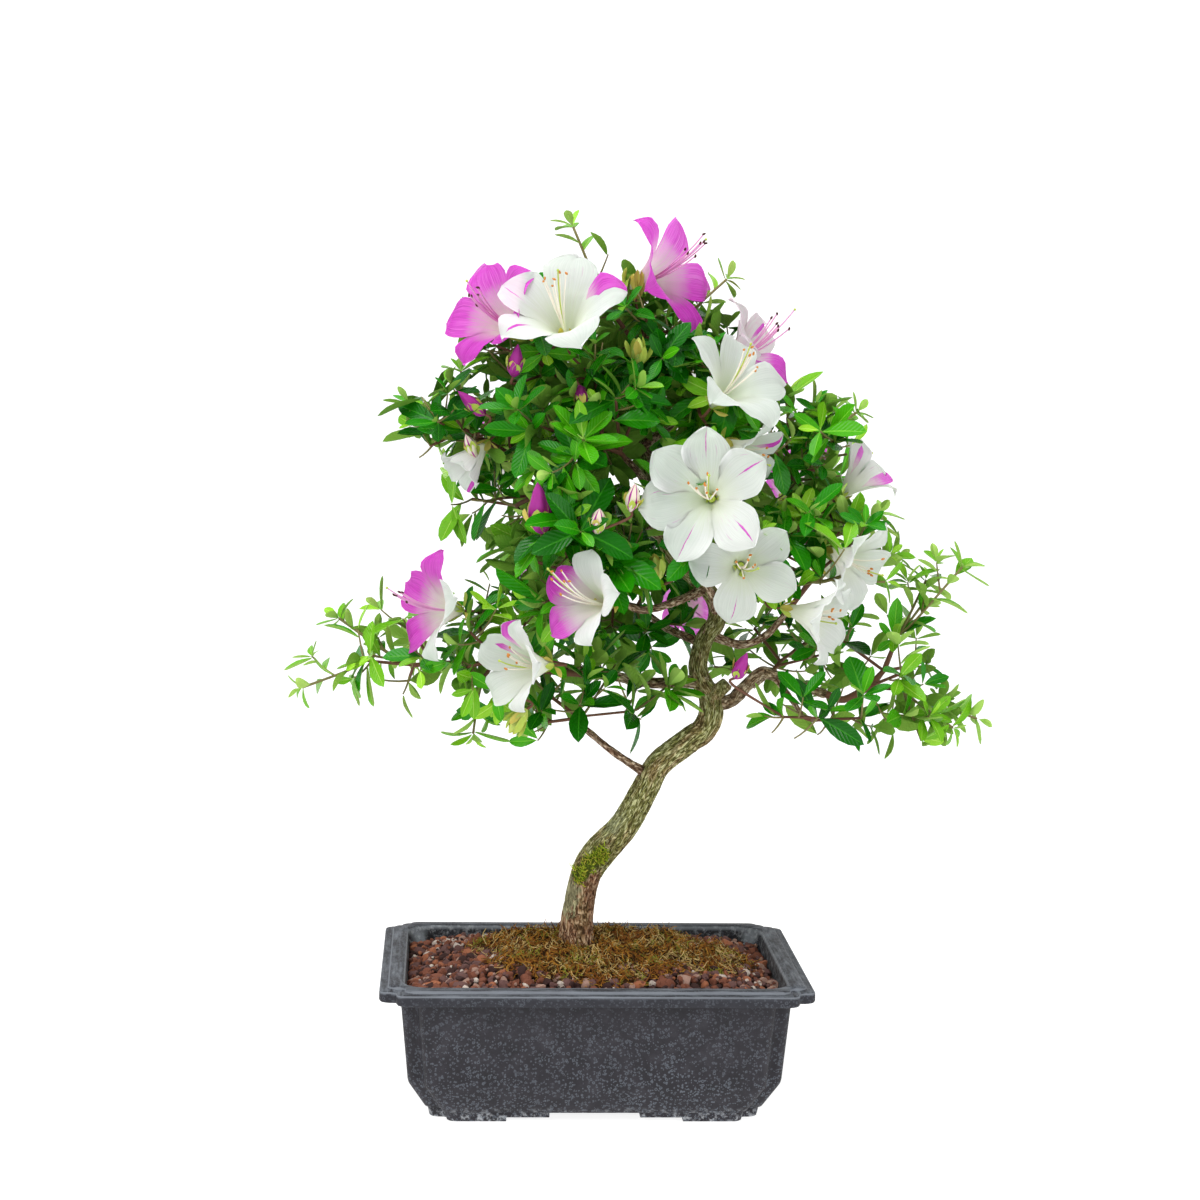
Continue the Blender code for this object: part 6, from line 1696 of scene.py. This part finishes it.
def addPetal(flowers, axes, radius, depth, turn, halfLeft, halfRight, look, number, cell, rng):
    calyx, axis, side, other = axes
    rows = np.array(petal["rows"])[:, None]
    t = np.linspace(-1, 1, petal["across"] + 1)[None, :]
    widest = np.interp(rows, *zip(*petalWide)) * (0.94 if len(look["turns"]) == 6 else 1.0)
    widest = widest * rng.uniform(0.96, 1.05) * look["wide"]
    closed = 1 - look["open"]
    out = np.interp(rows, *zip(*petalOut)) * (1 - closed * np.clip((rows - 0.2) / 0.5, 0, 1))
    ahead = np.interp(rows, *zip(*petalAhead)) * (1 + 0.9 * closed * np.clip((rows - 0.3) / 0.6, 0, 1))
    # the tube's share of the ring, then the free lobe
    half = np.where(t > 0, halfLeft, halfRight)
    free = np.clip((rows - 0.34) / 0.16, 0, 1)
    free = free * free * (3 - 2 * free)
    ringX, ringY = out * np.cos(t * half), out * np.sin(t * half)
    bulge = 0.33 * (1 - np.cos(t * half)) * np.clip(1 - (rows - 0.46) / 0.4, 0, 1)
    wavy = 1 + 0.035 * np.sin(9 * rows + rng.uniform(0, 6)) * (rows > 0.6)
    lobeX, lobeY = out - bulge * look["open"], widest * wavy * t * look["open"] ** 0.5
    x = ringX * (1 - free) + lobeX * free
    y = ringY * (1 - free) + lobeY * free
    z = ahead * depth / radius * look["depth"]
    tips = np.clip((rows - 0.55) / 0.45, 0, 1)
    lean = rng.uniform(-0.05, 0.05)
    z = z - petal["groove"] * np.exp(-(t / 0.16) ** 2) * np.clip((rows - 0.3) / 0.2, 0, 1)
    z = z + petal["lap"] * t * np.clip((rows - 0.42) / 0.15, 0, 1) + lean * tips
    z = z + 0.045 * t**2 * np.sin(math.pi * np.clip((rows - 0.45) / 0.55, 0, 1)) * rng.uniform(0.3, 1.2)
    ripple = np.sin(rows * 17 + np.where(t > 0, rng.uniform(0, 6), rng.uniform(0, 6)) + 2 * t)
    z = z + petal["ruffle"] * ripple * np.abs(t) ** 2.5 * np.clip((rows - 0.5) / 0.25, 0, 1)
    z = z + rng.uniform(-0.10, 0.02) * tips**2
    spin = math.radians(turn)
    radial, tangent = spoke(side, other, spin), spoke(other, -side, spin)
    sheet = calyx + radius * (x[..., None] * radial + y[..., None] * tangent + z[..., None] * axis)
    normals = np.cross(np.gradient(sheet, axis=0), np.gradient(sheet, axis=1))
    normals /= np.maximum(np.linalg.norm(normals, axis=2), 1e-12)[..., None]
    if (normals * (axis - 0.3 * radial)).sum() < 0:
        normals = -normals
    normals[-1] = normals[-2]
    back = sheet - normals * petal["thick"]
    rowCount, columns = sheet.shape[:2]
    index = np.arange(rowCount * columns).reshape(rowCount, columns)
    quads = np.stack([index[:-1, :-1], index[:-1, 1:], index[1:, 1:], index[1:, :-1]], -1).reshape(-1, 4)
    size = rowCount * columns
    rim = [(b, a, a + size, b + size) for a, b in zip(index[:, 0], index[1:, 0])]
    rim += [(a, b, b + size, a + size) for a, b in zip(index[:, -1], index[1:, -1])]
    faces = np.vstack([quads, quads[:, ::-1] + size, rim])
    check = np.cross(sheet[8, 8] - sheet[8, 7], sheet[9, 7] - sheet[8, 7]) @ normals[8, 7]
    if check < 0:
        faces = faces[:, ::-1]
    u = (0.5 + 0.5 * t + 0 * rows).ravel()
    v = (rows + 0 * t).ravel()
    # each petal has its own field of the flat sheet
    columnCount, cellNumber = cell
    cellY, cellX = divmod(cellNumber, columnCount)
    spots = np.stack([cellX + 0.03 + 0.94 * u, cellY + 0.03 + 0.94 * v], -1) / columnCount
    spots = np.vstack([spots, spots])
    stripe = look["stripes"].get(number, (0.0, 0.0, 0.0, 0.0))
    flowers.add(np.vstack([sheet.reshape(-1, 3), back.reshape(-1, 3)]), faces, part["petal"], spots[faces],
                across=np.tile((t + 0 * rows).ravel(), 2), along=np.tile(v, 2),
                magenta=1.0 if look["shades"][number] == "m" else 0.0,
                stripePlace=stripe[0], stripeWidth=stripe[1], stripeStart=stripe[2], stripeEnd=stripe[3],
                flecks=look["flecks"], petalNumber=cellNumber * 3.7, blush=look["blush"], pink=look["pink"])


def addTube(flowers, line, radii, sides, slot, corner):
    points, faces, places = tubeForm(line, radii, sides)
    flowers.add(points, faces, slot, places * 0.012 + np.array(corner), **noMarks)


def addBract(flowers, root, way, normal, length, width, slot, rng):
    placed = laidLeaf(root, way, normal, length, width, rng)
    flowers.add(placed, leafFaces, slot, leafPlaces * 0.012 + 0.986, **noMarks)


def addBlossom(flowers, index, cells):
    look = blossomLooks[index]
    calyx, axis = calyxPlaces[index], calyxWays[index]
    radius, depth = blossomRadii[index] * look["size"], blossomDepths[index]
    rng = random.Random(300 + index)
    side = unit(np.array((1.0, 0, 0)) - axis[0] * axis)
    other = np.cross(axis, side)
    axes = calyx, axis, side, other
    turns = look["turns"]
    order = sorted(range(len(turns)), key=lambda k: turns[k] % 360)
    for place, number in enumerate(order):
        here = turns[number] % 360
        after = turns[order[(place + 1) % len(order)]] % 360
        before = turns[order[place - 1]] % 360
        halfLeft = math.radians(((after - here) % 360) / 2)
        halfRight = math.radians(((here - before) % 360) / 2)
        addPetal(flowers, axes, radius, depth, here, halfLeft, halfRight, look, number,
                 (cells[0], cells[1] + place), rng)
    count, reach, dark = look["stamens"]
    for k in range(count + (count > 0)):
        pistil = k == count
        out = spoke(side, other, rng.uniform(0, 6.28))
        lift = np.array((0, 0, 1.0)) - axis[2] * axis
        length = depth * (reach * rng.uniform(0.82, 1.06) * (1.22 if pistil else 1.0))
        share = np.linspace(0, 1, 8)[:, None]
        fan = out * radius * rng.uniform(0.05, 0.24)
        line = calyx + axis * depth * 0.15 + axis * length * share + fan * share**1.5
        line = line + lift * length * (0.16 * share**2.2 - 0.10 * share * (1 - share))
        slot = part["filamentPink"] if dark else part["bract"] if pistil else part["filament"]
        addTube(flowers, line, np.linspace(0.00046, 0.00034, 8), 5, slot, (0.97, 0.97))
        end, way = line[-1], unit(line[-1] - line[-2])
        tip = unit(way + 0.7 * np.array([rng.uniform(-1, 1) for _ in range(3)]))
        body = end + tip * np.array((-0.9, -0.4, 0.3, 0.9))[:, None] * (0.0007 if pistil else 0.0011)
        thick = np.array((0.35, 1.0, 0.95, 0.3)) * (0.0007 if pistil else 0.0006)
        slot = part["bract"] if pistil else part["antherDark"] if dark else part["antherPale"]
        addTube(flowers, body, thick, 6, slot, (0.985, 0.97))
    # calyx, and the bud scales that still clasp the flower's foot
    line = calyx + axis * mm(np.array((-1.0, 0.5, 2.5, 4.0)))[:, None]
    addTube(flowers, line, mm(np.array((1.0, 1.8, 2.1, 1.7))), 10, part["bract"], (0.97, 0.985))
    for k in range(7):
        out = spoke(side, other, k * goldenTurn)
        tilt = math.radians(rng.uniform(16, 42) if k < 5 else rng.uniform(60, 100))
        slot = part["bractGold"] if k % 2 else part["bract"]
        addBract(flowers, calyx + out * 0.0012 - axis * 0.001, spoke(axis, out, tilt),
                 spoke(out, -axis, tilt), mm(rng.uniform(7, 11)), mm(3.6), slot, rng)


def addBud(flowers, index):
    place, way, length, width, kind = budTable[index]
    place, way = mm(place), unit(np.array(way, float))
    rng = random.Random(500 + index)
    side, other = squareTo(way, rng)
    rows, sides = 14, 20
    shares = np.linspace(0, 1, rows)
    profile = np.sin(math.pi * shares ** (0.62 if kind == "magenta" else 0.78)) ** 0.8
    profile[0], profile[-1] = 0.25, 0.02
    turns = np.arange(sides) * 2 * math.pi / sides
    points = []
    for share, wide in zip(shares, profile):
        for turn in turns:
            fold = 1 + 0.10 * math.cos(5 * (turn - 1.6 * share)) - 0.05 * math.cos(10 * (turn - 1.6 * share))
            reach = mm(width / 2) * wide * fold
            points.append(place + way * mm(length) * share + reach * spoke(side, other, turn))
    faces, places = ringFaces(rows, sides)
    shade = {"green": "budGreen", "spent": "bractGold", "pale": "budPale", "magenta": "budMagenta"}[kind]
    slots = np.full(len(faces), part[shade])
    if kind == "pale":
        slots[np.arange(len(faces)) % sides % 4 == 0] = part["budMagenta"]
    flowers.add(np.array(points), faces, slots, places * 0.012 + 0.97, **noMarks)
    for k in range(8 if kind != "spent" else 12):
        out = spoke(side, other, k * goldenTurn)
        tilt = math.radians(rng.uniform(8, 26))
        cover = (0.62, 0.95) if kind in ("green", "spent") else (0.35, 0.6)
        slot = part["bractGold"] if kind == "spent" or k % 4 == 3 else part["bract"]
        start = place + out * mm(width * 0.30) + way * mm(0.6 + 0.4 * k)
        addBract(flowers, start, spoke(way, out, tilt), spoke(out, -way, tilt),
                 mm(length) * rng.uniform(*cover), mm(width * 0.55), slot, rng)


def makeFlowers(mass):
    mine = [k for k, (calyx, axis) in enumerate(zip(calyxPlaces, calyxWays))
            if ownerOf(calyx - axis * growth["neck"]) == mass.number]
    buds = [k for k in range(len(budTable)) if ownerOf(mm(budTable[k][0])) == mass.number]
    if not mine and not buds:
        return
    flowers = Basket()
    petals = sum(len(blossomLooks[k]["turns"]) for k in mine)
    columns = max(math.ceil(math.sqrt(petals + 1)), 1)
    laid = 0
    for k in mine:
        addBlossom(flowers, k, (columns, laid))
        laid += len(blossomLooks[k]["turns"])
    for k in buds:
        addBud(flowers, k)
    # petals that would pass the bounding box curl back inside it
    for points in flowers.points:
        for side, wall in ((1, cadHigh), (-1, cadLow)):
            for axis in range(3):
                over = side * (points[:, axis] - wall[axis]) + 0.005
                points[:, axis] -= side * np.where(over > 0, over - 0.005 * (1 - np.exp(-over / 0.005)), 0)
    flowers.makePiece("blossoms_" + mass.name, flowerFinishes, "blossom", (), crease=60)


leafTotal = 0
for massName in massNames:
    leafTotal += growMass(massName)
print("leaves laid:", leafTotal)
